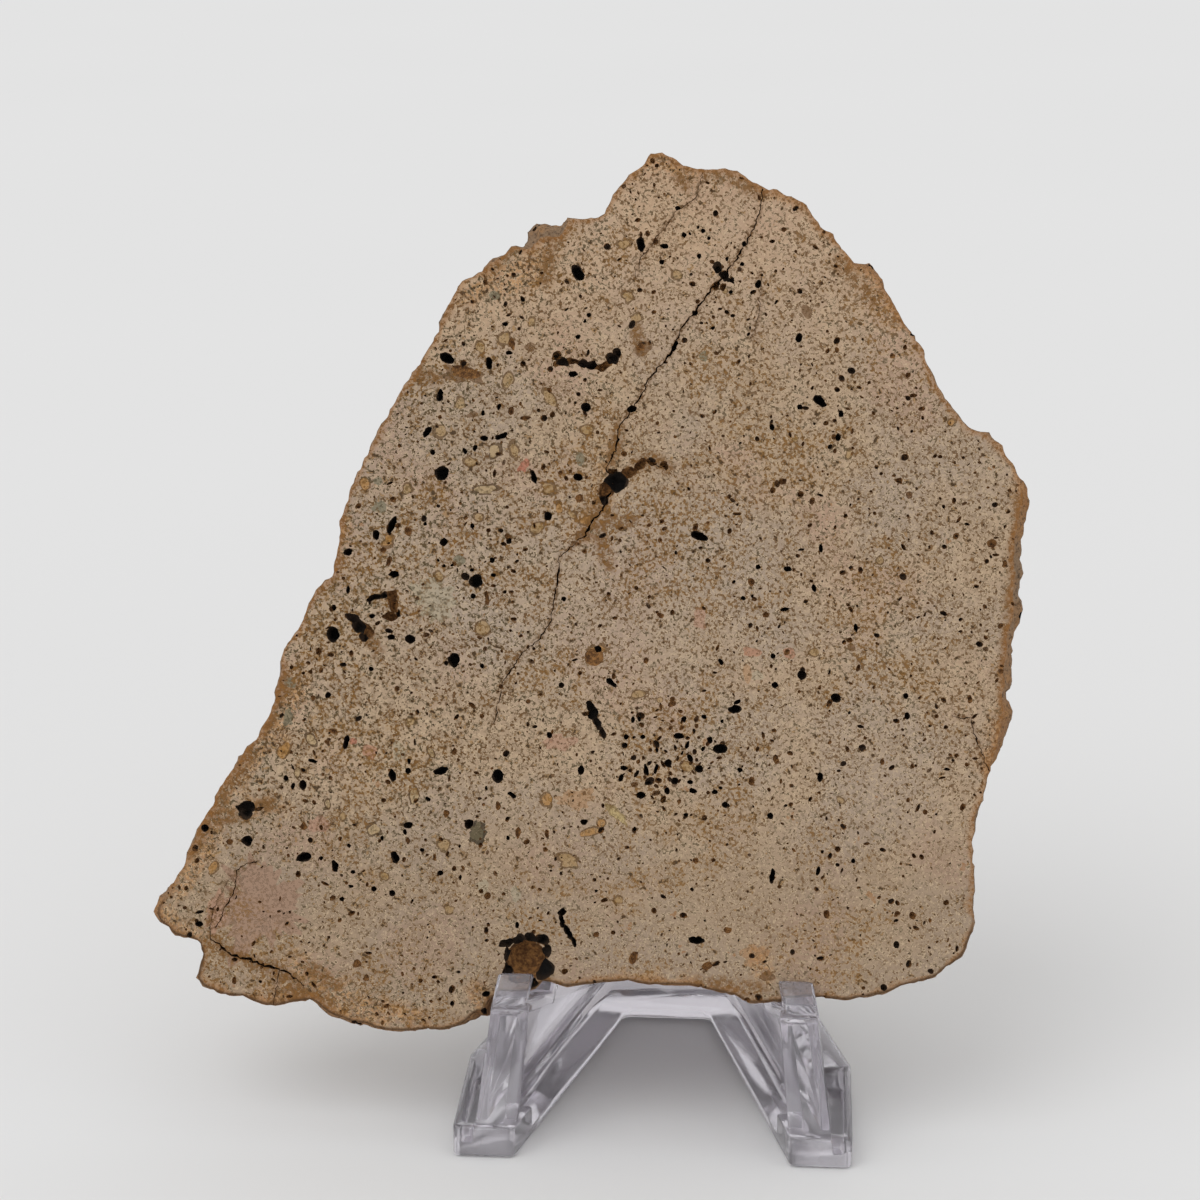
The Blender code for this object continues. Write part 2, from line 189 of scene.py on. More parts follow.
# %% Roughen it
RIM_STEP = 0.48          # between points of the finished rim
SMOOTH_REACH = 3         # points on each side that a direction out of the rim is averaged over
FOOT_HEIGHT = 7.0        # above the rim's lowest point, how high the hooks reach
FOOT_REACH = 24.0        # and how far to each side
FINE_ROUGH = ((0.22, 0.9), (0.12, 2.4))      # (how far out or in, waves per millimetre)


def rough(point, layers, offset=0.0):
    """Several sizes of noise added together, as (strength, waves per millimetre) layers."""
    return sum(strength * noise.noise(point * waves + Vector((offset, offset, offset)))
               for strength, waves in layers)


def divided(loop, step):
    """The closed loop in steps of an even length."""
    points = []
    for here, after in zip(loop, loop[1:] + loop[:1]):
        count = max(1, round((after - here).length / step))
        points += [here.lerp(after, share / count) for share in range(count)]
    return points


def outward(loop, reach):
    """The direction out of an anticlockwise loop at each of its points."""
    count = len(loop)
    around = []
    for index in range(count):
        tangent = loop[(index + reach) % count] - loop[index - reach]
        around.append(Vector((tangent.y, -tangent.x)).normalized())
    return around


foot_middle = Vector((toes.x / MM, min(point.y for point in rim) + FOOT_HEIGHT))
rim = divided(rim, RIM_STEP)
out_of_rim = outward(rim, SMOOTH_REACH)


def on_stand(point):
    """Whether the rim is between the hooks here, and has to keep its distance from the stand."""
    return abs(point.x - foot_middle.x) < FOOT_REACH and point.y < foot_middle.y


silhouette = []
for point, direction in zip(rim, out_of_rim):
    wander = rough(point.to_3d(), FINE_ROUGH)
    silhouette.append(point + direction * (min(wander, 0.0) if on_stand(point) else wander))
print("rim of", len(silhouette), "points,",
      round(sum((a - b).length for a, b in zip(silhouette, silhouette[1:])), 1), "mm round")

# %% [markdown]
# ## The blank: two sawn faces and a broken side
#
# A saw cut meets a broken side at a chipped corner, so each sawn face starts a little inside
# the silhouette and the side bulges out from it. In a few places a larger piece has broken
# off the corner. The side is a stack of rings through the thickness, each pushed in and out
# by three sizes of noise. The faces could be single polygons, but the colours need points to
# be stored on, so each is filled by a Delaunay triangulation between a scatter of points,
# closer where a crack passes.

# %% Chips
CHIP = 0.24              # how far the sawn face stays inside the silhouette
CHIP_MORE = 0.38         # and how much further in places
CHIP_WAVES = 0.3         # of those places, per millimetre
WIDE_CHIP = 1.0          # along the stretch of the right edge where the side shows from the front
WIDE_CHIP_FROM, WIDE_CHIP_TO = sight(1020, 780).y, sight(1020, 470).y
WIDE_CHIP_X = (30.0, 38.0)           # the distance to the right over which it sets in
WIDE_CHIP_FADE = 5.0                 # and the one up or down
# where a larger piece has broken off: (x, y, how far that reaches, how much more chip)
BROKEN_OFF = [
    (538, 226, 4.2, 2.3), (492, 268, 4.0, 0.6), (168, 908, 3.0, 0.5), (352, 1024, 4.0, 0.6),
    (866, 272, 3.0, 0.7), (478, 1016, 2.5, 0.7), (288, 712, 3.0, 0.5), (243, 768, 3.0, 0.5),
]
BREAK_REACH = 14         # points on each side that a direction is averaged over where a piece is off
BREAK_CORE = 0.3         # share of its reach over which a break is deepest


def ease(value, low, high):
    """0 below low, 1 above high, and a smooth step between."""
    share = min(1.0, max(0.0, (value - low) / (high - low)))
    return share * share * (3.0 - 2.0 * share)


def chip_at(point):
    """How far inside the silhouette the sawn face ends."""
    chip = CHIP + CHIP_MORE * max(0.0, noise.noise(point.to_3d() * CHIP_WAVES))
    right = ease(point.x, *WIDE_CHIP_X)
    span = (ease(point.y, WIDE_CHIP_FROM, WIDE_CHIP_FROM + WIDE_CHIP_FADE)
            * ease(-point.y, -WIDE_CHIP_TO, WIDE_CHIP_FADE - WIDE_CHIP_TO))
    return chip + WIDE_CHIP * right * span


def broken_at(point):
    """How much more has broken off there."""
    return sum(more * ease(-(point - on_face(x, y)).length, -reach, -BREAK_CORE * reach)
               for x, y, reach, more in BROKEN_OFF)


chips = [chip_at(point) for point in silhouette]
breaks = [broken_at(point) for point in silhouette]
wide_out = outward(rim, BREAK_REACH)
print("the sawn face ends", round(min(chips), 2), "to", round(max(chips), 2),
      "mm inside the silhouette, and up to", round(max(breaks), 2), "mm more at a break")

# %% Sides
SIDE_ROUGH = ((0.70, 0.33), (0.40, 0.85), (0.22, 2.1))
SIDE_INSET = 0.22        # how far the side lies inside the silhouette on average
BULGE_MOST = 0.1         # how far it may bulge out,
BULGE_BROKEN = 0.4       # and how much more of what has broken off
CORNER_DEPTH = 1.2       # under a sawn face, over which the side starts to be rough
CHIP_SLOPE = (-0.35, 1.2)            # depths over which a chip slopes out, as shares of its size
STAND_GAP = 0.1          # how much further the side stays from the stand
# depths of the rings under the sawn face, closer at the corners
LEVELS = (0.0, 0.12, 0.3, 0.6, 1.0, 1.5, 2.05, 2.6, 3.2, 3.8, 4.4, 5.0, 5.6, 6.2, 6.75, 7.2, 7.5,
          7.75, 8.0)


def smoothed(loop, rounds):
    """Each point drawn halfway to the middle of its neighbours, a few times over."""
    for _ in range(rounds):
        loop = [point.lerp((loop[index - 1] + loop[(index + 1) % len(loop)]) / 2, 0.5)
                for index, point in enumerate(loop)]
    return loop


def ring(depth):
    """The slab's cross-section at one depth under the sawn face."""
    near = min(depth, thickness - depth)
    points = []
    for point, direction, wide, chip, broken in zip(silhouette, out_of_rim, wide_out, chips, breaks):
        bulge = rough(Vector((point.x, point.y, depth)), SIDE_ROUGH, 9.0) - SIDE_INSET
        bulge = min(bulge, BULGE_MOST + BULGE_BROKEN * broken) * ease(near, 0.0, CORNER_DEPTH)
        if on_stand(point):
            bulge = min(0.0, bulge) - STAND_GAP
        low, high = (share * (chip + broken) for share in CHIP_SLOPE)
        inset = 1.0 - ease(near, low, high)
        points.append(point + direction * (bulge - chip * inset) - wide * broken * inset)
    return smoothed(points, 2) if near == 0.0 else points


rings = [ring(min(level, thickness)) for level in LEVELS]
print(len(rings), "rings")

# %% [markdown]
# ## Cracks
#
# One long crack runs from the top edge down through the middle, and finer ones branch from it,
# follow the edge of the pink clast at the lower left, or cut off the corner there. Each is a
# list of places on the pane, with the width of the crack there in squares. The same list is
# used three times: to place points on the face beside the crack, to cut the crack, and to
# stain the stone along it.

# %% Where the cracks run
CRACKS = [
    [(763, 190, 2.5), (759, 216, 2.5), (745, 245, 3), (735, 261, 4), (723, 277, 5), (710, 289, 4),
     (702, 302, 4), (695, 313, 5), (680, 331, 3), (672, 352, 5), (661, 364, 3), (648, 382, 3),
     (640, 399, 3), (632, 409, 3), (619, 427, 3), (617, 444, 4), (606, 468, 2), (612, 483, 6),
     (602, 510, 4), (590, 525, 6), (583, 537, 5)],
    [(583, 537, 2), (570, 549, 2), (558, 560, 2.5), (558, 579, 5), (554, 601, 2), (550, 624, 3),
     (540, 638, 3), (523, 652, 2), (510, 670, 2.5), (502, 684, 2), (500, 697, 2), (494, 723, 1.5)],
    [(704, 171, 1.5), (696, 197, 1.5), (676, 213, 1.5), (657, 238, 1.5), (641, 258, 1.5), (635, 278, 1)],
    [(761, 273, 1), (759, 318, 1), (751, 340, 1)],
    [(258, 861, 2), (237, 869, 2), (236, 888, 2), (226, 908, 2), (215, 927, 2.5)],
    [(230, 875, 1), (221, 893, 1), (212, 915, 1.5), (210, 937, 2.5), (226, 951, 5), (248, 960, 6),
     (274, 967, 6), (290, 974, 5), (304, 986, 4)],
    [(279, 968, 2), (277, 985, 1.5), (274, 1004, 1.5)],
    [(952, 716, 1.5), (970, 719, 2), (978, 745, 2), (988, 770, 2.5)],
    [(648, 462, 1), (655, 466, 2), (666, 468, 3)],
]
CRACK_THIN = 0.45        # how wide a crack is cut, as a share of the width that its line gives

crack_lines = [[(on_face(x, y), CRACK_THIN * width * SQUARE / 2) for x, y, width in crack]
               for crack in CRACKS]
print(len(CRACKS), "cracks,", round(sum((a[0] - b[0]).length for line in crack_lines
                                        for a, b in zip(line, line[1:])), 1), "mm in all")

# %% [markdown]
# ## Pores and caverns
#
# The larger holes are what makes this slab this one, so each is given by its place, width,
# height and tilt. A bubble that the saw opened deep is painted black inside, as shade, and
# one that it only grazed shows its brown lining with less painted shade. The biggest holes,
# the caverns, are not round: each is a chain of lumps that run into each other.

# %% Where they are
# (x, y, width, height, tilt in degrees anticlockwise), in squares of the pane
DEEP = [
    (442, 473, 13, 14, -30), (476, 581, 13, 13, 0), (454, 660, 11, 14, 0), (333, 634, 12, 15, 0),
    (534, 477, 6, 12, 15), (578, 477, 10, 7, -15), (548, 516, 8, 9, 0), (632, 409, 10, 7, 10),
    (586, 407, 10, 9, 0), (440, 395, 6, 12, -10), (427, 432, 6, 12, -30), (484, 438, 8, 5, 0),
    (501, 436, 12, 5, 25), (465, 451, 4, 6, 30), (475, 448, 4, 6, -20), (433, 452, 5, 5, 0),
    (499, 407, 4, 7, -10), (483, 413, 4, 5, 0), (444, 542, 8, 8, 0), (509, 541, 6, 6, 0),
    (472, 526, 4, 5, 0), (425, 524, 4, 4, 0), (473, 596, 5, 5, 0), (564, 599, 5, 5, 0),
    (392, 525, 7, 17, -25), (376, 535, 7, 10, 10), (348, 552, 9, 7, 20), (410, 639, 10, 9, 0),
    (348, 590, 4, 8, 0), (492, 560, 5, 6, 20), (493, 575, 5, 4, 0), (472, 570, 4, 4, 0),
    (394, 574, 11, 6, 10), (372, 616, 6, 5, 0), (391, 637, 8, 5, 0), (444, 566, 3, 4, 0),
    (452, 565, 3, 3, 0), (438, 560, 3, 4, 0), (498, 776, 11, 13, 0), (441, 771, 15, 7, 18),
    (304, 857, 15, 8, 22), (335, 866, 7, 12, 10), (395, 857, 7, 13, 18), (408, 825, 9, 7, 10),
    (405, 832, 4, 6, 0), (392, 775, 6, 12, 14), (408, 771, 6, 6, 0), (409, 761, 4, 5, 0),
    (247, 841, 11, 9, -20), (820, 401, 15, 8, -40), (841, 414, 5, 7, 0), (838, 437, 5, 8, 0),
    (699, 536, 17, 8, -15), (641, 244, 8, 14, 10), (758, 284, 6, 9, -20), (578, 273, 10, 16, 35),
    (664, 246, 8, 5, -5), (662, 262, 5, 5, 0), (684, 235, 5, 5, 0), (690, 234, 3, 3, 0), (703, 231, 4, 5, 0),
    (699, 256, 4, 5, 0), (709, 238, 3, 4, 0), (698, 227, 3, 3, 0), (744, 244, 4, 6, -20),
    (727, 259, 4, 4, 0), (731, 292, 4, 4, 0), (742, 264, 4, 4, 0), (678, 208, 6, 4, 0), (695, 313, 6, 5, 20),
    (675, 346, 5, 12, -20), (713, 328, 4, 4, 0), (505, 324, 6, 5, 0), (578, 337, 5, 5, 0),
    (589, 315, 5, 4, 0), (585, 321, 3, 4, 0), (447, 358, 15, 9, -32), (489, 363, 6, 12, 5),
    (509, 353, 7, 4, 0), (573, 374, 9, 6, 0), (735, 709, 13, 8, 10), (737, 702, 7, 4, 30),
    (802, 675, 9, 9, -40), (775, 685, 6, 6, 0), (836, 698, 10, 8, -35), (820, 777, 6, 9, 0),
    (770, 816, 6, 6, 0), (772, 876, 5, 14, -5), (696, 940, 15, 8, 0), (853, 861, 5, 5, 0),
    (818, 871, 4, 9, -10), (358, 1025, 7, 5, 0), (486, 994, 8, 5, 20), (484, 1012, 6, 8, 0),
    (562, 912, 9, 7, 20), (562, 921, 5, 13, 10), (568, 932, 6, 15, 30), (574, 942, 4, 11, 20),
    (907, 716, 5, 7, 0), (906, 696, 5, 6, 0), (856, 628, 4, 9, 8), (814, 588, 4, 8, 15), (598, 649, 7, 7, 0),
    (346, 742, 5, 14, -12), (313, 761, 9, 4, -12), (328, 695, 6, 6, 0), (286, 778, 5, 6, 30),
    (293, 786, 4, 7, -15), (303, 785, 8, 9, 0), (353, 872, 5, 4, 0), (440, 873, 6, 5, 0),
    (392, 893, 6, 6, 0), (199, 924, 8, 6, 0), (205, 828, 8, 7, 0), (342, 899, 5, 5, 0), (374, 889, 5, 5, 0),
    (351, 886, 5, 3, 0), (321, 858, 4, 4, 0), (428, 799, 6, 4, -25), (382, 838, 4, 5, 20),
    (349, 846, 4, 4, 0), (422, 850, 4, 4, 0), (581, 770, 7, 9, 0), (549, 735, 5, 6, 0),
    (611, 682, 11, 5, -38), (508, 838, 4, 4, 0), (512, 795, 9, 5, -35), (486, 788, 3, 4, 0),
    (517, 925, 4, 6, 0), (584, 822, 7, 6, 0), (596, 891, 3, 4, 0), (684, 719, 5, 6, 0), (633, 720, 4, 6, 0),
    (639, 719, 4, 6, 20), (626, 737, 5, 6, 0), (643, 737, 5, 4, 0), (679, 736, 10, 6, -5),
    (687, 745, 4, 8, -20), (682, 753, 3, 5, -30), (710, 740, 5, 7, 0), (720, 749, 14, 9, 5),
    (690, 758, 5, 9, 20), (668, 763, 7, 8, 0), (657, 750, 3, 5, 20), (624, 768, 7, 5, 0),
    (621, 778, 5, 8, -20), (646, 770, 5, 11, 20), (656, 769, 4, 9, -15), (699, 769, 8, 7, -35),
    (675, 781, 7, 7, 0), (690, 782, 6, 4, 10), (648, 783, 7, 4, 0), (667, 791, 6, 7, 0),
    (693, 791, 8, 5, -15), (715, 792, 6, 4, 0), (641, 795, 9, 7, 0), (725, 805, 6, 6, 0),
    (686, 815, 5, 4, 20), (635, 829, 3, 5, 0), (704, 717, 5, 5, 0), (722, 721, 3, 4, 0), (740, 770, 5, 5, 0),
    (703, 749, 4, 4, 0), (721, 662, 4, 7, 30), (773, 656, 5, 5, 0), (758, 567, 5, 5, 0), (788, 569, 8, 6, 0),
    (821, 548, 4, 8, 0), (785, 609, 9, 4, 15), (743, 598, 5, 4, 0), (752, 596, 3, 3, 0),
    (799, 338, 6, 10, 0), (772, 427, 5, 6, 0), (800, 407, 5, 6, 0), (334, 608, 5, 6, 0), (482, 666, 4, 5, 0),
    (371, 669, 5, 5, 0), (469, 824, 8, 10, -30),
]
GRAZED = [
    (594, 657, 20, 18, 0), (776, 759, 6, 10, 20), (790, 753, 7, 5, -30), (696, 861, 6, 6, 0),
    (787, 652, 6, 7, 0), (719, 758, 6, 4, 0), (672, 704, 8, 6, 30), (661, 707, 3, 8, 10),
    (660, 615, 9, 5, -20), (751, 582, 7, 8, 0), (660, 540, 5, 5, 0), (899, 481, 8, 6, 0),
    (992, 544, 9, 9, 0), (1005, 564, 5, 8, 0), (799, 692, 4, 4, 0), (897, 914, 7, 5, 20),
    (728, 930, 8, 6, 0), (707, 966, 12, 8, 30), (633, 958, 8, 12, -20), (820, 688, 4, 5, 0),
    (466, 372, 30, 12, -12), (331, 609, 5, 5, 0), (313, 698, 5, 6, 0), (321, 670, 5, 6, 0),
    (311, 672, 5, 5, 0), (482, 716, 5, 5, 0), (487, 598, 5, 15, 5), (340, 920, 4, 4, 0), (357, 964, 8, 9, 0),
    (512, 344, 6, 12, 10), (366, 978, 7, 6, 0), (230, 842, 7, 7, 0), (882, 762, 5, 7, 0),
    (511, 411, 6, 9, 0), (440, 417, 5, 5, 0), (912, 766, 5, 6, 0), (925, 812, 5, 5, 0), (970, 699, 5, 9, 0),
    (908, 375, 6, 6, 0), (408, 531, 7, 10, 10), (892, 356, 5, 6, 0), (837, 350, 5, 5, 0),
    (828, 351, 5, 5, 0), (826, 423, 5, 5, 0), (640, 347, 9, 9, 0), (518, 833, 6, 13, 5),
    (547, 834, 5, 9, 10), (498, 806, 5, 9, 10), (545, 849, 5, 5, 0), (435, 857, 4, 8, 0),
    (408, 840, 5, 6, 0), (304, 826, 7, 8, 0), (446, 814, 6, 7, 0), (333, 731, 11, 5, -15),
    (328, 742, 6, 5, 0), (404, 859, 4, 5, 0), (340, 839, 4, 5, 0), (389, 561, 6, 10, -20),
    (526, 418, 10, 4, 0), (579, 498, 8, 9, 0),
]
# the same, and how much painted shade darkens the lining of each lump
CAVERNS = [
    [(616, 482, 24, 21, 20, 1.0), (605, 490, 15, 15, 30, 0.25), (604, 500, 8, 9, 0, 0.7),
     (612, 470, 9, 8, 0, 0.25), (629, 473, 14, 10, 30, 0.25), (640, 465, 13, 8, 35, 0.25),
     (651, 463, 11, 5, 0, 0.25), (663, 466, 10, 7, -25, 0.25)],
    [(556, 356, 9, 9, 0, 0.5), (563, 363, 14, 9, -20, 0.9), (573, 362, 14, 7, 0, 0.4),
     (583, 364, 12, 10, 0, 0.9), (592, 366, 14, 10, 0, 1.0), (603, 367, 16, 9, 15, 0.3),
     (612, 359, 11, 12, 50, 0.8), (618, 354, 8, 9, 0, 0.9)],
    [(717, 268, 9, 10, 30, 1.0), (724, 276, 8, 11, 35, 0.9), (731, 281, 9, 6, -30, 0.8),
     (716, 285, 7, 6, 40, 0.5), (723, 287, 7, 8, 0, 0.25)],
    [(246, 807, 21, 10, 0, 1.0), (246, 813, 13, 11, 0, 0.9), (258, 808, 12, 5, 10, 0.3)],
    [(353, 619, 15, 8, -30, 0.9), (359, 627, 12, 15, 35, 0.9), (367, 631, 12, 14, 20, 0.25),
     (364, 637, 9, 7, 0, 0.9)],
    [(374, 598, 15, 6, 15, 0.9), (384, 595, 11, 7, 15, 0.9), (392, 596, 12, 10, 20, 0.3),
     (393, 605, 10, 16, 0, 0.25), (390, 617, 14, 9, 0, 0.25), (398, 613, 5, 7, 0, 0.9)],
    [(590, 706, 8, 11, 30, 0.9), (593, 714, 12, 13, 0, 1.0), (597, 723, 9, 13, 15, 0.9),
     (602, 732, 6, 14, 18, 0.8), (587, 713, 9, 6, 0, 0.5)],
    [(526, 959, 37, 37, 0, 0.25), (507, 943, 16, 8, 20, 0.9), (519, 940, 15, 10, 0, 0.9),
     (531, 938, 13, 9, -20, 0.9), (543, 940, 13, 12, 20, 0.9), (546, 951, 10, 13, -20, 0.9),
     (543, 968, 19, 22, 10, 0.9), (508, 955, 9, 15, 10, 0.9), (508, 970, 10, 16, -10, 0.8),
     (518, 979, 18, 12, 0, 0.5), (531, 982, 14, 10, 0, 0.7)],
]
print(len(DEEP), "deep pores,", len(GRAZED), "grazed ones,", len(CAVERNS), "caverns")

# %% [markdown]
# ## Clasts and stains
#
# Between the pores lie pieces of other stone: pink and red ones, grey-green ones, and ochre
# ones that have weathered to a ring round a pale middle. A saw cuts through them as through
# the rest, so they lie in the sawn face without any step. Each is a patch of the face's own
# triangles, cut out along the clast's outline, that carries the clast's colour. Where two
# overlap, the later one in the list covers the other. Water has left brown stains along the
# main crack and inside the broken edge, and broader, paler spreads of rust. Both are given as
# lines on the face, and the stone is coloured by how near they are.

# %% Where they lie
# (x, y, width, height, tilt in degrees anticlockwise, kind), in squares of the pane
CLASTS = [
    (523, 466, 10, 17, -30, "red"), (751, 653, 19, 11, -5, "rosy"), (788, 652, 11, 10, 0, "rosy"),
    (372, 751, 15, 13, 0, "rosy"), (353, 740, 7, 9, 0, "red"), (560, 742, 26, 16, 20, "pink"),
    (318, 826, 20, 14, -20, "pink"), (700, 620, 14, 18, 10, "pink"), (262, 905, 74, 82, 20, "dusky"),
    (216, 912, 20, 44, -20, "pink"), (757, 675, 12, 10, 0, "pale"), (379, 482, 9, 9, 0, "grey"),
    (379, 506, 14, 12, -20, "grey"), (289, 717, 12, 20, -10, "grey"), (291, 683, 11, 9, 0, "grey"),
    (476, 831, 20, 26, -20, "dark"), (494, 296, 10, 8, 0, "grey"), (459, 559, 12, 11, 0, "grey"),
    (702, 355, 10, 12, 0, "grey"), (580, 458, 9, 14, 0, "grey"), (432, 600, 44, 40, 0, "pale"),
    (374, 829, 18, 15, -10, "ring"), (547, 801, 13, 15, 30, "gold"), (575, 800, 42, 16, 0, "tan"),
    (587, 833, 22, 8, 15, "gold"), (598, 652, 26, 17, 20, "gold"), (212, 868, 10, 17, -20, "gold"),
    (569, 861, 24, 15, 0, "ochre"), (284, 750, 12, 20, -25, "gold"), (617, 816, 28, 9, -48, "straw"),
    (602, 823, 10, 9, 0, "gold"), (687, 767, 15, 8, -30, "ochre"), (461, 405, 12, 16, 0, "ochre"),
    (505, 339, 18, 18, 20, "ochre"), (951, 422, 12, 9, -30, "gold"), (849, 455, 9, 10, 0, "ochre"),
    (795, 438, 10, 9, 0, "ochre"), (624, 244, 14, 10, 10, "ochre"), (628, 297, 14, 13, 0, "ochre"),
    (636, 318, 16, 10, 0, "ochre"), (494, 452, 14, 13, 0, "ring"), (515, 450, 11, 22, 10, "ochre"),
    (485, 490, 32, 10, 2, "ring"), (547, 488, 15, 13, 0, "ochre"), (537, 528, 14, 12, 10, "ochre"),
    (559, 508, 9, 13, 0, "gold"), (851, 648, 8, 8, 0, "brown"), (858, 658, 4, 9, 30, "brown"),
    (407, 490, 11, 14, -20, "ochre"), (641, 348, 14, 13, 0, "brown"), (808, 312, 9, 12, 20, "brown"),
    (756, 957, 27, 20, 30, "tan"), (766, 975, 14, 10, 0, "brown"), (463, 375, 38, 15, -12, "brown"),
    (387, 541, 14, 16, 0, "gold"), (410, 722, 14, 12, 0, "ochre"), (440, 575, 12, 11, -40, "ochre"),
    (660, 700, 10, 8, 20, "ochre"), (880, 560, 9, 8, 0, "ochre"), (915, 640, 10, 8, 30, "ochre"),
    (840, 800, 12, 8, -20, "ochre"), (620, 900, 12, 10, 0, "ochre"), (450, 910, 14, 10, 10, "ochre"),
    (549, 397, 12, 23, 35, "ochre"), (508, 380, 10, 16, 0, "ochre"), (480, 347, 12, 14, 0, "ochre"),
    (530, 347, 12, 9, 0, "brown"), (531, 322, 10, 11, 0, "ochre"), (442, 430, 13, 14, -20, "ochre"),
    (470, 415, 12, 8, 0, "brown"), (586, 430, 14, 10, 0, "ochre"), (470, 462, 18, 10, 10, "ochre"),
    (572, 515, 14, 13, 0, "ochre"), (584, 521, 14, 9, 10, "gold"), (582, 535, 12, 10, 0, "brown"),
    (364, 483, 10, 16, 0, "gold"), (482, 628, 16, 13, 10, "ochre"), (479, 517, 9, 11, 0, "ochre"),
    (297, 772, 8, 11, 0, "ring"), (328, 804, 8, 10, 0, "ring"), (343, 815, 9, 12, 10, "ochre"),
    (414, 796, 9, 19, 0, "ring"), (431, 752, 8, 15, 35, "ring"), (399, 753, 14, 18, 0, "pale"),
    (312, 740, 14, 12, -30, "ring"), (444, 845, 12, 10, 0, "ochre"), (385, 876, 9, 8, 0, "ochre"),
    (484, 888, 12, 15, 0, "pale"), (516, 894, 8, 12, 0, "pale"), (815, 652, 12, 8, 0, "ochre"),
    (748, 672, 8, 18, 0, "tan"), (725, 291, 7, 8, 0, "ochre"), (679, 275, 12, 10, -20, "ochre"),
    (640, 694, 18, 9, 10, "ochre"),
]
STAINS = [
    [(619, 430), (617, 445), (611, 462)], [(632, 470), (641, 463), (655, 459), (668, 468)],
    [(606, 492), (600, 506), (592, 522), (583, 535)], [(583, 535), (600, 520), (618, 522), (632, 519)],
    [(598, 530), (604, 546), (607, 566)], [(246, 815), (225, 818), (205, 822)], [(258, 806), (275, 804)],
    [(490, 268), (520, 245), (552, 226)], [(192, 850), (205, 828), (222, 800)],
    [(560, 226), (551, 250), (545, 285)],
    [(207, 942), (225, 950), (250, 962), (275, 968), (295, 985), (305, 992)], [(290, 992), (330, 1004)],
    [(310, 968), (335, 985)], [(286, 680), (268, 724)], [(250, 752), (230, 782), (214, 810)],
    [(680, 178), (686, 186)], [(704, 168), (722, 174), (752, 190)],
    [(1020, 500), (1016, 560), (1008, 640), (1004, 720)], [(420, 370), (436, 380)], [(636, 330), (640, 350)],
    [(372, 640), (380, 655)], [(540, 962), (548, 985)], [(700, 983), (760, 990)], [(838, 262), (872, 300)],
]
RUSTS = [
    [(640, 165), (660, 158), (690, 172)], [(752, 180), (790, 192), (815, 205), (835, 235)],
    [(850, 262), (870, 268), (882, 290), (900, 322)], [(1010, 448), (1026, 480), (1026, 530)],
    [(1004, 712), (990, 770)], [(472, 292), (505, 272), (548, 258)], [(500, 288), (535, 276)],
    [(345, 520), (334, 552)], [(300, 690), (270, 740), (235, 780), (205, 850), (180, 890)],
    [(160, 908), (172, 926), (200, 940)], [(300, 965), (330, 1005), (380, 1022)], [(262, 1000), (300, 996)],
    [(318, 975), (350, 1000), (420, 1018)], [(215, 996), (250, 1004)], [(476, 994), (484, 1012)],
    [(600, 500), (586, 530)], [(612, 450), (606, 470)], [(232, 812), (205, 818)], [(258, 808), (272, 806)],
    [(756, 957), (768, 975)], [(620, 985), (700, 990)],
]
print(len(CLASTS), "clasts,", len(STAINS), "stains and", len(RUSTS), "rusty places")

# %% Clast colours
INNER = 0.72             # size of the middle of a clast of two colours


def paint(red, green, blue, cover=1.0):
    """A colour from a swatch card, in 0 to 255, as the linear colour that shaders take."""
    def linear(value):
        value /= 255
        return value / 12.92 if value <= 0.04045 else ((value + 0.055) / 1.055) ** 2.4
    return (linear(red), linear(green), linear(blue), cover)


# each kind's colour and how much of it covers the ground, from its rim inwards
KINDS = {
    "red": [paint(172, 108, 86, 0.85)],
    "rosy": [paint(170, 122, 96, 0.75)],
    "pink": [paint(174, 132, 110, 0.6)],
    "dusky": [paint(157, 127, 106, 0.93)],
    "pale": [paint(166, 158, 134, 0.45)],
    "tan": [paint(164, 120, 78, 0.5)],
    "grey": [paint(118, 113, 92, 0.8)],
    "brown": [paint(104, 72, 40, 0.75)],
    "dark": [paint(50, 43, 29, 0.9), paint(84, 76, 53, 0.9)],
    "straw": [paint(138, 116, 66, 0.7), paint(182, 160, 108, 0.8)],
    "gold": [paint(100, 68, 28, 0.82), paint(164, 116, 50, 0.72)],
    "ochre": [paint(96, 68, 32, 0.8), paint(158, 126, 76, 0.62)],
    "ring": [paint(80, 58, 32, 0.85), paint(174, 148, 108, 0.7)],
}
print(len(KINDS), "kinds,", sum(len(colours) == 2 for colours in KINDS.values()), "of two colours")

# %% [markdown]
# ## Filling the faces
#
# The sawn face is flat, so it would need no points of its own. They are there to carry what
# the colours are worked out from: the distances to the rim and to the nearest crack, stain
# and rusty line. Rows of points follow these lines, and rings go round the caverns.

# %% Points along lines and round caverns
RIM_ROW = 0.35                       # inside the rim, a row of points
CRACK_ROWS = (0.22, 0.6, 1.1)        # beside a crack, rows of points
STAIN_ROWS = (0.0, 0.7, 1.4)         # and beside a stain
CRACK_STEP, STAIN_STEP = 0.55, 0.7   # between the points of a row
CAVERN_RINGS = (0.7, 1.1, 1.7)       # rings round a cavern's lumps, as shares of their size
RING_POINTS = (5, 9)                 # on a ring at least, and how many more for each such share


def rows_beside(lines, rows, step):
    """Points in rows along both sides of lines of (place, half width) pairs."""
    points = []
    for line in lines:
        for (here, width), (after, _) in zip(line, line[1:]):
            along = (after - here).normalized()
            across = Vector((-along.y, along.x))
            count = max(1, round((after - here).length / step))
            for share in range(count):
                spot = here.lerp(after, share / count)
                points += [spot + across * side * (width + row) for row in rows for side in (-1, 1)]
    return points


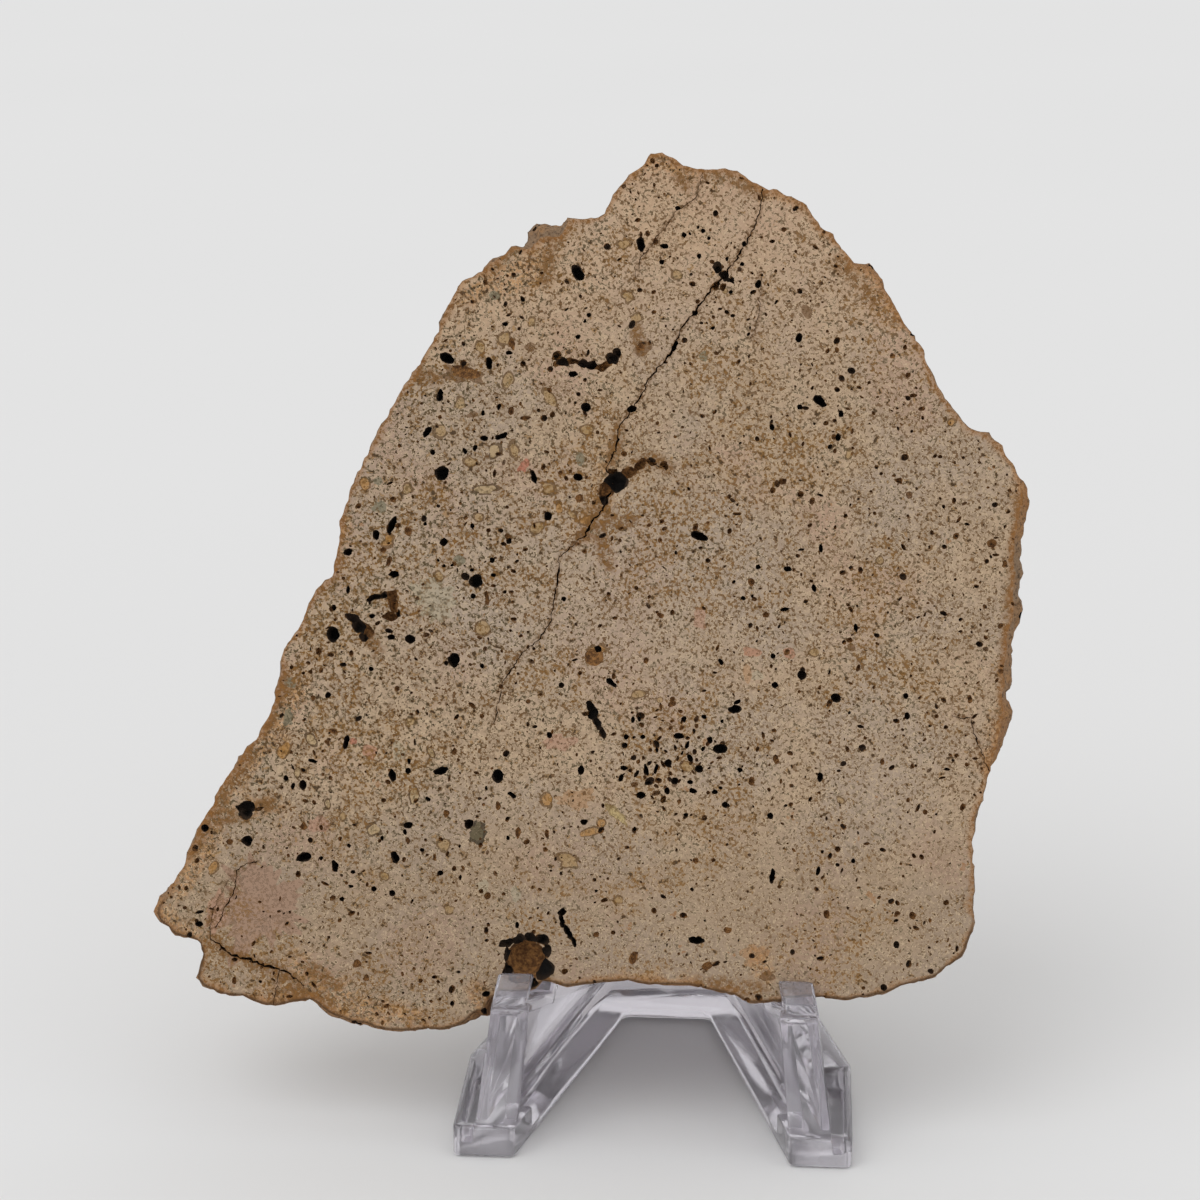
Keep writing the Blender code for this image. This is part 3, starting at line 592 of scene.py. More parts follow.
def cavern_rings():
    """Points in rings round every lump of every cavern."""
    points = []
    for x, y, wide, high, *_ in sum(CAVERNS, []):
        middle, size = on_face(x, y), max(wide, high) * SQUARE / 2
        for share in CAVERN_RINGS:
            count = round(RING_POINTS[1] * share + RING_POINTS[0])
            points += [middle + Matrix.Rotation(2 * math.pi * step / count, 2) @ Vector((size * share, 0.0))
                       for step in range(count)]
    return points


stain_lines, rust_lines = ([[(on_face(x, y), 0.0) for x, y in line] for line in lines]
                           for lines in (STAINS, RUSTS))
beside = (rows_beside(crack_lines, CRACK_ROWS, CRACK_STEP)
          + rows_beside(stain_lines + rust_lines, STAIN_ROWS, STAIN_STEP))
print(len(beside), "points beside lines,", len(cavern_rings()), "round caverns")

# %% Clast outlines
CLAST_STEP = 0.3         # between the points of a clast's outline
CLAST_ROUGH = ((0.70, 0.50), (0.60, 1.5))    # as shares of the clast's size, waves per millimetre


def clast_outline(x, y, wide, high, tilt, share):
    """The rough outline of one clast, or of its middle share, anticlockwise."""
    middle, half = on_face(x, y), Vector((wide, high)) * share * SQUARE / 2
    count = max(9, round(math.pi * (half.x + half.y) / CLAST_STEP))
    loop = []
    for step in range(count):
        angle = 2 * math.pi * step / count
        spoke = Vector((half.x * math.cos(angle), half.y * math.sin(angle)))
        spoke = Matrix.Rotation(math.radians(tilt), 2) @ spoke
        loop.append(middle + spoke * (1.0 + rough((middle + spoke).to_3d(), CLAST_ROUGH, 3.0)))
    return loop


clast_outlines, clast_paint = [], []
for *where, kind in CLASTS:
    for share, colour in zip((1.0, INNER), KINDS[kind]):
        clast_outlines.append(clast_outline(*where, share))
        clast_paint.append(colour)
print(len(clast_outlines), "patches with", sum(map(len, clast_outlines)), "points on their outlines")

# %% Fill a face
FRONT_GRID, BACK_GRID = 1.4, 2.2     # between the scattered points
FRONT_SEED, BACK_SEED = 5, 6
JITTER = 0.3             # how far each may stray, as a share of that
CLEAR = 0.24             # between any point and the rim
POINT_GAP = 0.3          # between any two points that are not on an outline


def scatter(outline, spacing, seed):
    """A jittered grid of points over the outline's box."""
    draw = random.Random(seed)
    low_x, high_x = min(point.x for point in outline), max(point.x for point in outline)
    low_y, high_y = min(point.y for point in outline), max(point.y for point in outline)
    jitter = JITTER * spacing
    return [Vector((low_x + spacing * column + draw.uniform(-jitter, jitter),
                    low_y + spacing * row + draw.uniform(-jitter, jitter)))
            for row in range(math.ceil((high_y - low_y) / spacing))
            for column in range(math.ceil((high_x - low_x) / spacing))]


def thinned(points, apart, fixed):
    """The points that are at least this far from the fixed ones and from every point kept before them."""
    kept, cells = [], {}
    for number, point in enumerate(fixed + points):
        cell = (math.floor(point.x / apart), math.floor(point.y / apart))
        near = [other for i in (-1, 0, 1) for j in (-1, 0, 1)
                for other in cells.get((cell[0] + i, cell[1] + j), ())]
        if number < len(fixed) or all((point - other).length >= apart for other in near):
            cells.setdefault(cell, []).append(point)
            if number >= len(fixed):
                kept.append(point)
    return kept


def filled(outline, extra, spacing, seed, patches=()):
    """Points, triangles and the number of the patch each is in; the outline's own points come first."""
    tree = KDTree(len(outline))
    for index, point in enumerate(outline):
        tree.insert(point.to_3d(), index)
    tree.balance()
    facing = outward(outline, SMOOTH_REACH)
    row = [point - direction * RIM_ROW for point, direction in zip(outline, facing)]

    def well_inside(point):
        nearest, index, distance = tree.find(point.to_3d())
        return distance > CLEAR and (point - nearest.to_2d()).dot(facing[index]) < -CLEAR

    inside = [point for point in extra + row + scatter(outline, spacing, seed) if well_inside(point)]
    points, bounds = list(outline), [list(range(len(outline)))]
    for number, patch in enumerate(patches):
        if not all(well_inside(point) for point in patch):
            print("patch", number, "crosses the rim")
        bounds.append(list(range(len(points), len(points) + len(patch))))
        points += patch
    points += thinned(inside, POINT_GAP, points)
    made = delaunay_2d_cdt(points, [], bounds, 1, 1e-6)
    within = [max(numbers) - 1 for numbers in made[5]]
    return [Vector(point) for point in made[0]], made[2], within


extra = beside + cavern_rings()
front_points, front_faces, front_clasts = filled(rings[0], extra, FRONT_GRID, FRONT_SEED, clast_outlines)
back_points, back_faces, _ = filled(rings[-1], [], BACK_GRID, BACK_SEED)
print("front", len(front_faces), "triangles,", sum(number >= 0 for number in front_clasts),
      "of them in clasts; back", len(back_faces))

# %% Close the blank
suevite = bpy.data.materials.new("suevite")


def object_from(name, points, faces, edges=()):
    mesh = bpy.data.meshes.new(name)
    mesh.from_pydata([tuple(point) for point in points], list(edges), [tuple(face) for face in faces])
    mesh.validate()
    return in_scene(name, mesh)


def is_closed(bm):
    return all(len(edge.link_faces) == 2 for edge in bm.edges)


def blank():
    """The slab before anything is cut from it."""
    around = len(silhouette)
    points = [point.to_3d() for point in front_points]
    starts = [0]
    for level, loop in zip(LEVELS[1:-1], rings[1:-1]):
        starts.append(len(points))
        points += [Vector((point.x, point.y, -level)) for point in loop]
    starts.append(len(points))
    points += [Vector((point.x, point.y, -thickness)) for point in back_points]
    faces = list(front_faces)
    for upper, lower in zip(starts, starts[1:]):
        for index in range(around):
            after = (index + 1) % around
            faces.append((upper + after, upper + index, lower + index, lower + after))
    faces += [tuple(starts[-1] + index for index in reversed(face)) for face in back_faces]
    made = object_from("slab_blank", points, faces)
    made.data.materials.append(suevite)
    layer = made.data.attributes.new("clast", "FLOAT_COLOR", "FACE")
    for index, item in enumerate(layer.data):
        number = front_clasts[index] if index < len(front_clasts) else -1
        item.color = clast_paint[number] if number >= 0 else (0.0, 0.0, 0.0, 0.0)
    return made


stone = blank()
bm = bmesh.new()
bm.from_mesh(stone.data)
print("blank closed:", is_closed(bm), "volume", round(bm.calc_volume(signed=True) / 1000, 1), "cm3")
bm.free()

# %% [markdown]
# ## Node trees as expressions
#
# Geometry Nodes and shaders are both graphs of nodes. They could be drawn by hand in the
# editor, but a script can be read. A Wire is a socket that can be used in arithmetic: adding
# two wires puts a Math node in the graph and gives back its output. Every other node comes
# from Graph.node, which takes the node's type, its sockets' values or wires, and its settings.

# %% Wires
def operator(operation, swapped=False):
    """A method that puts a Math node for a wire and another value in the wire's graph."""
    def method(wire, other):
        return wire.graph.math(operation, *((other, wire) if swapped else (wire, other)))
    return method


class Wire:
    """An output socket that can be added, multiplied and so on."""

    def __init__(self, graph, socket):
        self.graph, self.socket = graph, socket

    __add__ = __radd__ = operator("ADD")
    __sub__, __rsub__ = operator("SUBTRACT"), operator("SUBTRACT", swapped=True)
    __mul__ = __rmul__ = operator("MULTIPLY")
    __rtruediv__ = operator("DIVIDE", swapped=True)
    __pow__, __gt__, most = operator("POWER"), operator("GREATER_THAN"), operator("MAXIMUM")


class Graph:
    """A node tree that is being built."""

    def __init__(self, tree):
        self.tree = tree

    def node(self, kind, values=None, output=0, **settings):
        made = self.tree.nodes.new(kind)
        for name, value in settings.items():
            setattr(made, name, value)
        for key, value in (values or {}).items():
            for item in value if isinstance(value, list) else [value]:
                if isinstance(item, Wire):
                    self.tree.links.new(item.socket, made.inputs[key])
                else:
                    made.inputs[key].default_value = item
        return Wire(self, made.outputs[output])

    def math(self, operation, *values):
        return self.node("ShaderNodeMath", dict(enumerate(values)), operation=operation)

    def vector(self, operation, *values, output=0):
        return self.node("ShaderNodeVectorMath", dict(enumerate(values)), output, operation=operation)

    def scaled(self, vector, factor):
        return self.node("ShaderNodeVectorMath", {0: vector, "Scale": factor}, operation="SCALE")

    def parts(self, vector):
        """A vector's X, Y and Z."""
        split = self.node("ShaderNodeSeparateXYZ", {0: vector}).socket.node
        return [Wire(self, socket) for socket in split.outputs]

    def noise(self, place, waves, detail=2.0, roughness=0.5, output=0, **more):
        """Noise from 0 to 1, in waves per unit of the place; output 1 is three noises in a vector."""
        values = {"Vector": place, "Scale": waves, "Detail": detail, "Roughness": roughness, **more}
        return self.node("ShaderNodeTexNoise", values, output)

    def step(self, value, low, high):
        """0 at low, 1 at high, and smooth between; low may be the larger."""
        return self.node("ShaderNodeMapRange", {"Value": value, 1: low, 2: high},
                         interpolation_type="SMOOTHSTEP")


trial = Graph(bpy.data.node_groups.new("trial", "ShaderNodeTree"))
rest = 1 - trial.math("SQRT", 0.25) * 2
print("1 - root * 2 makes the nodes", [made.operation for made in rest.graph.tree.nodes])
bpy.data.node_groups.remove(trial.tree)

# %% Shapes
class Shape(Graph):
    """A Geometry Nodes tree with named inputs, whose last steps are the same for every piece."""

    def __init__(self, name, **inputs):
        super().__init__(bpy.data.node_groups.new(name, "GeometryNodeTree"))
        self.inputs = {**inputs, "Finish": suevite}
        kinds = {float: "Float", int: "Int", bpy.types.Material: "Material", bpy.types.Object: "Object"}
        face = self.tree.interface
        face.new_socket("Geometry", in_out="INPUT", socket_type="NodeSocketGeometry")
        for label, value in self.inputs.items():
            face.new_socket(label, in_out="INPUT", socket_type="NodeSocket" + kinds[type(value)])
        face.new_socket("Geometry", in_out="OUTPUT", socket_type="NodeSocketGeometry")
        self.group = self.tree.nodes.new("NodeGroupInput")

    def given(self, label):
        return Wire(self, self.group.outputs[label])

    def given_mesh(self, label):
        return self.node("GeometryNodeObjectInfo", {"Object": self.given(label)}, output="Geometry")

    def read(self, label, kind="FLOAT"):
        return self.node("GeometryNodeInputNamedAttribute", {"Name": label}, data_type=kind)

    def store(self, geometry, label, value, domain):
        values = {"Geometry": geometry, "Name": label, "Value": value}
        return self.node("GeometryNodeStoreNamedAttribute", values, data_type="FLOAT", domain=domain)

    def place(self):
        return self.node("GeometryNodeInputPosition")

    def chance(self, low, high, seed):
        """A random number for each point, or a vector between two vectors."""
        kind, first, output = ("FLOAT_VECTOR", 0, 0) if isinstance(low, tuple) else ("FLOAT", 2, 1)
        values = {first: low, first + 1: high, "Seed": seed}
        return self.node("FunctionNodeRandomValue", values, output, data_type=kind)

    def finish(self, geometry):
        whole = self.node("GeometryNodeRealizeInstances", {"Geometry": geometry})
        coated = self.node("GeometryNodeSetMaterial", {"Geometry": whole, "Material": self.given("Finish")})
        self.tree.links.new(coated.socket, self.tree.nodes.new("NodeGroupOutput").inputs["Geometry"])

    def grow(self, thing, **changes):
        """Run the tree on an object, and keep the result as the object's plain mesh."""
        modifier = thing.modifiers.new(self.tree.name, "NODES")
        modifier.node_group = self.tree
        names = {item.name: item.identifier for item in self.tree.interface.items_tree
                 if item.in_out == "INPUT"}
        for label, value in {**self.inputs, **changes}.items():
            modifier[names[label]] = value
        bpy.context.view_layer.update()
        seen = thing.evaluated_get(bpy.context.evaluated_depsgraph_get())
        mesh = bpy.data.meshes.new_from_object(seen)
        thing.modifiers.clear()
        thing.data = mesh
        return thing


def triangles(thing):
    return sum(len(face.vertices) - 2 for face in thing.data.polygons)


print("the blank has", triangles(stone), "triangles")

# %% [markdown]
# ## Cutting tools
#
# Every hollow is made the way a gas bubble makes it: an egg of space inside the stone, which
# the saw happens to open. So each tool is an egg, a little off the face, stretched and turned
# by its point's own attributes, and bent by noise so that no two are alike. A point's shade
# says how much painted shade darkens the brown lining of its hollow: 1 paints a deep hole
# black, less leaves a shallow one brown. Spheres that are modelled by hand would be as good,
# but hundreds of them would take a day.

# %% Eggs
Egg = namedtuple("Egg", "place half_size turn shade")
# painted shade in the hollows of the deep pores and of the grazed ones
DEEP_SHADE, GRAZED_SHADE = 1.0, 0.45
# how much larger an egg is than the hole, how deep, how much deeper for the hole's size, and
# how far its middle is raised off the face
DEEP_EGG, GRAZED_EGG, LUMP_EGG = (1.08, 0.55, 0.8, -0.1), (1.1, 0.75, 0.0, 0.28), (1.06, 0.75, 0.45, -0.15)


def egg(x, y, wide, high, tilt, shade, form, measure=max):
    """The egg for one hole; its depth goes by the larger of the hole's two sizes, or by the smaller."""
    swell, deep, deeper, raised = form
    deep += deeper * measure(wide, high) * SQUARE
    half = Vector((wide * swell * SQUARE / 2, high * swell * SQUARE / 2, deep))
    return Egg(Vector((*on_face(x, y), raised)), half, math.radians(tilt), shade)


deep_eggs = [egg(*row, DEEP_SHADE, DEEP_EGG) for row in DEEP]
grazed_eggs = [egg(*row, GRAZED_SHADE, GRAZED_EGG) for row in GRAZED]
lump_eggs = [egg(*row, LUMP_EGG, min) for row in sum(CAVERNS, [])]
print("deepest cavern", round(max(lump.half_size.z for lump in lump_eggs), 2), "mm")

# %% Eggs of the back face
BACK_PORES = 110
BACK_REACH = 55.0        # farthest from the flat frame's origin, which keeps them to the lower half
BACK_SPREAD = 4.5        # least distance between two of them
BACK_SIZES = (0.25, 1.1)             # half size of the smallest, and how much more the largest has
PORE_SEED = 21


def back_eggs(seed):
    """Pores of the back face, strewn at random: few wide, most narrow."""
    draw = random.Random(seed)
    near = [point for point in back_points if point.length < BACK_REACH]
    spots = thinned(near[len(silhouette)::2], BACK_SPREAD, [])
    draw.shuffle(spots)
    eggs = []
    for spot in spots[:BACK_PORES]:
        size = BACK_SIZES[0] + BACK_SIZES[1] * draw.random() ** 4
        half = Vector((size, size * draw.uniform(0.6, 1.0), 0.5 + size))
        turn, shade = draw.uniform(0.0, math.pi), draw.choice((0.6, 1.0, 1.0))
        eggs.append(Egg(Vector((*spot, -thickness)), half, turn, shade))
    return eggs


behind_eggs = back_eggs(PORE_SEED)
print(len(behind_eggs), "pores on the back face")

# %% The egg tree
def bent(tree, instances, wander, waves):
    """Real meshes from instances, each point moved by noise, with the shade stored on the faces."""
    push = tree.vector("SUBTRACT", tree.noise(tree.place(), waves, 1.0, output=1), (0.5, 0.5, 0.5))
    real = tree.node("GeometryNodeRealizeInstances", {"Geometry": instances})
    moved = tree.node("GeometryNodeSetPosition", {"Geometry": real, "Offset": tree.scaled(push, wander)})
    # the egg's painted shade, kept on the faces of its hollow
    return tree.store(moved, "lining", tree.read("shade"), "FACE")


eggs = Shape("rough_eggs", Facets=2, Wander=0.12, Waves=1.2)
unit = eggs.node("GeometryNodeMeshIcoSphere", {"Radius": 1.0, "Subdivisions": eggs.given("Facets")})
turned = eggs.node("ShaderNodeCombineXYZ", {"Z": eggs.read("turn")})
laid = eggs.node("GeometryNodeInstanceOnPoints", {
    "Points": eggs.given("Geometry"), "Instance": unit,
    "Rotation": eggs.node("FunctionNodeEulerToRotation", {0: turned}),
    "Scale": eggs.read("half_size", "FLOAT_VECTOR"),
})
eggs.finish(bent(eggs, laid, eggs.given("Wander"), eggs.given("Waves")))
print("egg tree with", len(eggs.tree.nodes), "nodes")

# %% Lay the eggs
APART = 1.25             # distance between two eggs of a tool, as a share of their two half sizes
WIDE = 1.5               # half size in mm, past which a pore is made with finer facets


def points_with(name, laid):
    """A mesh of loose points that carry each egg's size, turn and shade."""
    made = object_from(name, [one.place for one in laid], [])
    for label, kind, field in (("half_size", "FLOAT_VECTOR", "vector"), ("turn", "FLOAT", "value"),
                               ("shade", "FLOAT", "value")):
        layer = made.data.attributes.new(label, kind, "POINT")
        for item, one in zip(layer.data, laid):
            setattr(item, field, getattr(one, label))
    return made


def apart(one, other):
    """Whether two eggs are clear of each other however they are turned, with room for the noise."""
    return (one.place - other.place).length > APART * (max(one.half_size.xy) + max(other.half_size.xy))


def separated(laid):
    """The eggs in groups, so that no two of a group touch."""
    groups = []
    for one in laid:
        group = next((group for group in groups if all(apart(one, other) for other in group)), None)
        if group is None:
            group = []
            groups.append(group)
        group.append(one)
    return groups


tools = []
for name, laid, facets, wander, waves in (
        ("wide_pores", [one for one in deep_eggs if max(one.half_size) > WIDE], 3, 0.65, 1.6),
        ("narrow_pores", [one for one in deep_eggs if max(one.half_size) <= WIDE], 2, 0.4, 2.2),
        ("grazed_pores", grazed_eggs, 2, 0.6, 1.6), ("back_pores", behind_eggs, 2, 0.5, 1.6),
        ("lumps", lump_eggs, 3, 1.1, 0.9)):
    for number, group in enumerate(separated(laid)):
        points = points_with(f"{name}_{number}", group)
        tools.append(eggs.grow(points, Facets=facets, Wander=wander, Waves=waves))
for tool in tools:
    print(tool.name, triangles(tool), "triangles")

# %% [markdown]
# ## Small bubbles
#
# The rest of the bubbles are too many to place by hand and have no fixed place. Points are
# scattered over the blank itself, so they fall on both faces and on the broken side. Noise
# makes them crowd in some patches, and one swarm right of the middle is denser and coarser.

# %% The bubble tree
SWARM = sight(670, 760)
SWARM_RADII = (7.2, 4.2)             # where the swarm starts and where it is as dense as it gets
ELSEWHERE = 0.20                     # how dense they are on other faces, as a share of the front
THIN, CROWDED = 0.12, 0.34           # how dense they are at least, and how much more in a crowd
bubbles = Shape("small_bubbles", Apart=0.58, Crowding=1.35, Smallest=0.14, Largest=0.42, Seed=4)
crowd = bubbles.step(bubbles.noise(bubbles.place(), 0.13), 0.40, 0.62)
swarm = bubbles.step(bubbles.vector("DISTANCE", bubbles.place(), tuple(SWARM), output=1), *SWARM_RADII)
upward = bubbles.parts(bubbles.node("GeometryNodeInputNormal"))[2] > 0.9
strewn = bubbles.node("GeometryNodeDistributePointsOnFaces", {
    "Mesh": bubbles.given("Geometry"), "Distance Min": bubbles.given("Apart"),
    "Density Max": bubbles.given("Crowding"), "Seed": bubbles.given("Seed"),
    "Density Factor": (crowd * CROWDED + THIN).most(swarm) * (upward * (1 - ELSEWHERE) + ELSEWHERE),
}, distribute_method="POISSON")
more = bubbles.given("Largest") - bubbles.given("Smallest")
size = bubbles.given("Smallest") + more * (bubbles.chance(0.0, 1.0, 11) ** 3.0 + swarm * 0.25)
stretch = bubbles.chance((0.50, 0.75, 1.3), (1.25, 1.60, 2.4), 12)
spin = bubbles.chance((-0.3, -0.3, 0.0), (0.3, 0.3, 6.28), 13)
ball = bubbles.node("GeometryNodeMeshIcoSphere", {"Radius": 1.0, "Subdivisions": 1})
dotted = bubbles.node("GeometryNodeInstanceOnPoints", {
    "Points": strewn, "Instance": ball, "Scale": bubbles.scaled(stretch, size),
    "Rotation": bubbles.node("FunctionNodeEulerToRotation", {0: spin}),
})
# each small bubble gets a painted shade at random, kept on its hollow's faces
shaded = bubbles.store(dotted, "shade", bubbles.chance(0.1, 0.95, 14), "INSTANCE")
bubbles.finish(bent(bubbles, shaded, bubbles.given("Smallest") * 2.1, 0.35 / bubbles.given("Smallest")))
tools.append(bubbles.grow(object_from("bubbles", [vertex.co for vertex in stone.data.vertices],
                                      [face.vertices for face in stone.data.polygons])))
print(triangles(tools[-1]) // 20, "bubbles")

# %% [markdown]
# ## Crack wedges
#
# A crack is a thin wedge that follows its line. The line is divided finely and shaken a
# little, and a narrow trapezium is drawn along it, as wide as the crack is there and about
# six times as deep.

# %% The crack tree
BACK_SHIFT = Vector((1.1, -0.7, 0.0))        # of the long crack where it comes out behind
# painted shade inside every crack
CRACK_SHADE = 0.6
wedges = Shape("crack_wedges", Step=0.3, Shake=0.32)
line = wedges.node("GeometryNodeMeshToCurve", {"Mesh": wedges.given("Geometry")})
steps = {"Curve": line, "Length": wedges.given("Step")}
even = wedges.node("GeometryNodeResampleCurve", steps, mode="LENGTH")
wave = wedges.noise(wedges.place(), 1.3, 3.0, 0.6, output=1)
sideways = wedges.vector("MULTIPLY", wedges.vector("SUBTRACT", wave, (0.5, 0.5, 0.5)), (1.0, 1.0, 0.0))
shaken = wedges.node("GeometryNodeSetPosition", {
    "Geometry": even, "Offset": wedges.scaled(sideways, wedges.given("Shake") * 4.0)})
upright = wedges.node("GeometryNodeSetCurveNormal", {"Curve": shaken}, mode="Z_UP")
# in half widths of the crack: 1.5 above the sawn face and 11.5 below
wedge = {"Bottom Width": 2.0, "Top Width": 0.5, "Offset": 0.0, "Height": 13.0}
profile = wedges.node("GeometryNodeCurvePrimitiveQuadrilateral", wedge, mode="TRAPEZOID")
lowered = wedges.node("GeometryNodeTransform", {"Geometry": profile, "Translation": (0.0, 5.0, 0.0)})
ragged = wedges.read("half_width") * (wedges.noise(wedges.place(), 1.1, 3.0, 0.6) * 4.6 - 1.3).most(0.3)
cut = wedges.node("GeometryNodeCurveToMesh", {
    "Curve": upright, "Profile Curve": lowered, "Scale": ragged, "Fill Caps": True})
wedges.finish(wedges.store(cut, "lining", CRACK_SHADE, "FACE"))


def line_object(name, lines, closed=False):
    """Lines of (place, half width) pairs on the sawn face as runs of edges."""
    points, edges, halves = [], [], []
    for line in lines:
        start, count = len(points), len(line)
        points += [spot.to_3d() for spot, _ in line]
        halves += [half for _, half in line]
        edges += [(start + index, start + (index + 1) % count)
                  for index in range(count if closed else count - 1)]
    made = object_from(name, points, [], edges)
    made.data.attributes.new("half_width", "FLOAT", "POINT").data.foreach_set("value", halves)
    return made


# cracks that meet overlap, so they take turns between two tools
for first in (0, 1):
    tools.append(wedges.grow(line_object(f"cracks_{first}", crack_lines[first::2])))
    print(tools[-1].name, triangles(tools[-1]), "triangles")
behind = wedges.grow(line_object("back_crack", crack_lines[:1]))
upside_down = Matrix.Scale(-1, 4, (0, 0, 1))
behind.data.transform(Matrix.Translation(BACK_SHIFT + Vector((0.0, 0.0, -thickness))) @ upside_down)
behind.data.flip_normals()
tools.append(behind)

# %% [markdown]
# ## Cutting the slab
#
# One Boolean node cuts all the hollows away. Its Manifold solver does thousands of eggs in
# about a second, and it keeps the attributes that the eggs' faces carry, so the painted shade
# of each hollow stays marked. Inside one tool no two lumps may overlap, because the solver would
# leave stone where they do, so the lumps of a cavern and the cracks that meet are in tools of
# their own. After the cut, every point is told how far it is from the rim and from the nearest
# crack, stain and rusty line.

# %% The cutting tree
guides = {
    "rim": line_object("rim_line", [[(point, 0.0) for point in rings[0]]], closed=True),
    "crack": line_object("crack_line", crack_lines),
    "stain": line_object("stain_line", stain_lines),
    "rust": line_object("rust_line", rust_lines),
}
pierce = Shape("pierced_slab", **{tool.name: tool for tool in tools}, **guides)
# the blank's own faces carry no painted shade, the tools' faces carry theirs
slab_shape = pierce.node("GeometryNodeMeshBoolean", {
    "Mesh 1": pierce.store(pierce.given("Geometry"), "lining", 0.0, "FACE"),
    "Mesh 2": [pierce.given_mesh(tool.name) for tool in tools]}, operation="DIFFERENCE", solver="MANIFOLD")
flattened = pierce.vector("MULTIPLY", pierce.place(), (1.0, 1.0, 0.0))
for label in guides:
    ends = {"Target": pierce.given_mesh(label), "Source Position": flattened}
    away = pierce.node("GeometryNodeProximity", ends, output="Distance", target_element="EDGES")
    slab_shape = pierce.store(slab_shape, "from_" + label, away, "POINT")
pierce.finish(slab_shape)
stone = pierce.grow(stone)
print("pierced slab", triangles(stone), "triangles, in", [item.name for item in stone.data.materials])

# %% Sealed bubbles
def largest_shell(mesh):
    """Drop the closed bubbles that no surface opens, which are shells of their own."""
    bm = bmesh.new()
    bm.from_mesh(mesh)
    unseen, shells = dict.fromkeys(bm.verts), []
    while unseen:
        edge_of_shell = [unseen.popitem()[0]]
        shell = list(edge_of_shell)
        while edge_of_shell:
            for edge in edge_of_shell.pop().link_edges:
                for vert in edge.verts:
                    if vert in unseen:
                        del unseen[vert]
                        edge_of_shell.append(vert)
                        shell.append(vert)
        shells.append(shell)
    shells.sort(key=len)
    bmesh.ops.delete(bm, geom=[vert for shell in shells[:-1] for vert in shell], context="VERTS")
    closed = is_closed(bm)
    bm.to_mesh(mesh)
    bm.free()
    return len(shells) - 1, closed


print("sealed bubbles removed and slab closed:", largest_shell(stone.data))
for thing in [*tools, *guides.values()]:
    bpy.data.objects.remove(thing)

# %% Stand it up
STONE_CREASE = math.radians(38.0)    # past which an edge of the stone is sharp
for label in ("turn", "half_width", "shade", "id", "half_size"):
    if label in stone.data.attributes:
        stone.data.attributes.remove(stone.data.attributes[label])
stone.name = "suevite_slab"
stone.data.transform(stand_up)
stone.data.shade_smooth()
stone.data.set_sharp_from_angle(angle=STONE_CREASE)
print("slab stands from", [round(min(v.co[axis] for v in stone.data.vertices) / MM, 2) for axis in range(3)],
      "to", [round(max(v.co[axis] for v in stone.data.vertices) / MM, 2) for axis in range(3)])

# %% [markdown]
# ## The stone's colours
#
# Suevite is a pinkish beige ash that holds everything at once: pink and grey clouds a few
# centimetres across, ochre stains where water got in, rounded fragments of other stone, and
# all over it fine olive-brown specks with pale rims. Each of these is a mask between 0 and 1,
# worked out in millimetres on the slab, and the colours are laid over each other as coats.

# %% Places on the slab
class Paintwork(Graph):
    """A material's shader tree."""

    def __init__(self, material):
        material.use_nodes = True
        super().__init__(material.node_tree)
        self.tree.nodes.clear()

    def mix(self, share, first, second):
        return self.node("ShaderNodeMix", {0: share, 6: first, 7: second}, 2, data_type="RGBA")

    def coats(self, colour, *layers):
        """The colour with (share, colour) layers laid over it, one after another."""
        for share, layer in layers:
            colour = self.mix(share, colour, layer)
        return colour

    def read(self, label, output="Fac"):
        return self.node("ShaderNodeAttribute", output=output, attribute_name=label)

    def own_place(self):
        return self.node("ShaderNodeTexCoord", output="Object")

    def finish(self, **values):
        """The last node: a Principled shader with these values by their sockets' names."""
        named = {name.replace("_", " "): value for name, value in values.items()}
        shader = self.node("ShaderNodeBsdfPrincipled", named)
        self.tree.links.new(shader.socket, self.tree.nodes.new("ShaderNodeOutputMaterial").inputs["Surface"])


rock = Paintwork(suevite)
flat_turn = lie_down.to_3x3().normalized().to_euler()
place = rock.node("ShaderNodeMapping", {
    "Vector": rock.own_place(), "Location": tuple(lie_down.translation),
    "Rotation": tuple(flat_turn), "Scale": (1 / MM, 1 / MM, 1 / MM)})
from_rim, from_crack, from_stain, from_rust = (rock.read("from_" + label) for label in guides)
# how much painted shade each hollow's faces carry, 0 on the sawn face and the side
lining = rock.read("lining")
across, up, height = rock.parts(place)
# noise is cut through at a slant, because its own grid shows on a plane along its axes
slanted = rock.node("ShaderNodeMapping", {
    "Vector": place, "Location": (3.3, 7.1, 5.9), "Rotation": (0.9, 0.6, 0.4)})
print("flat frame turned by", [round(math.degrees(angle), 1) for angle in flat_turn])

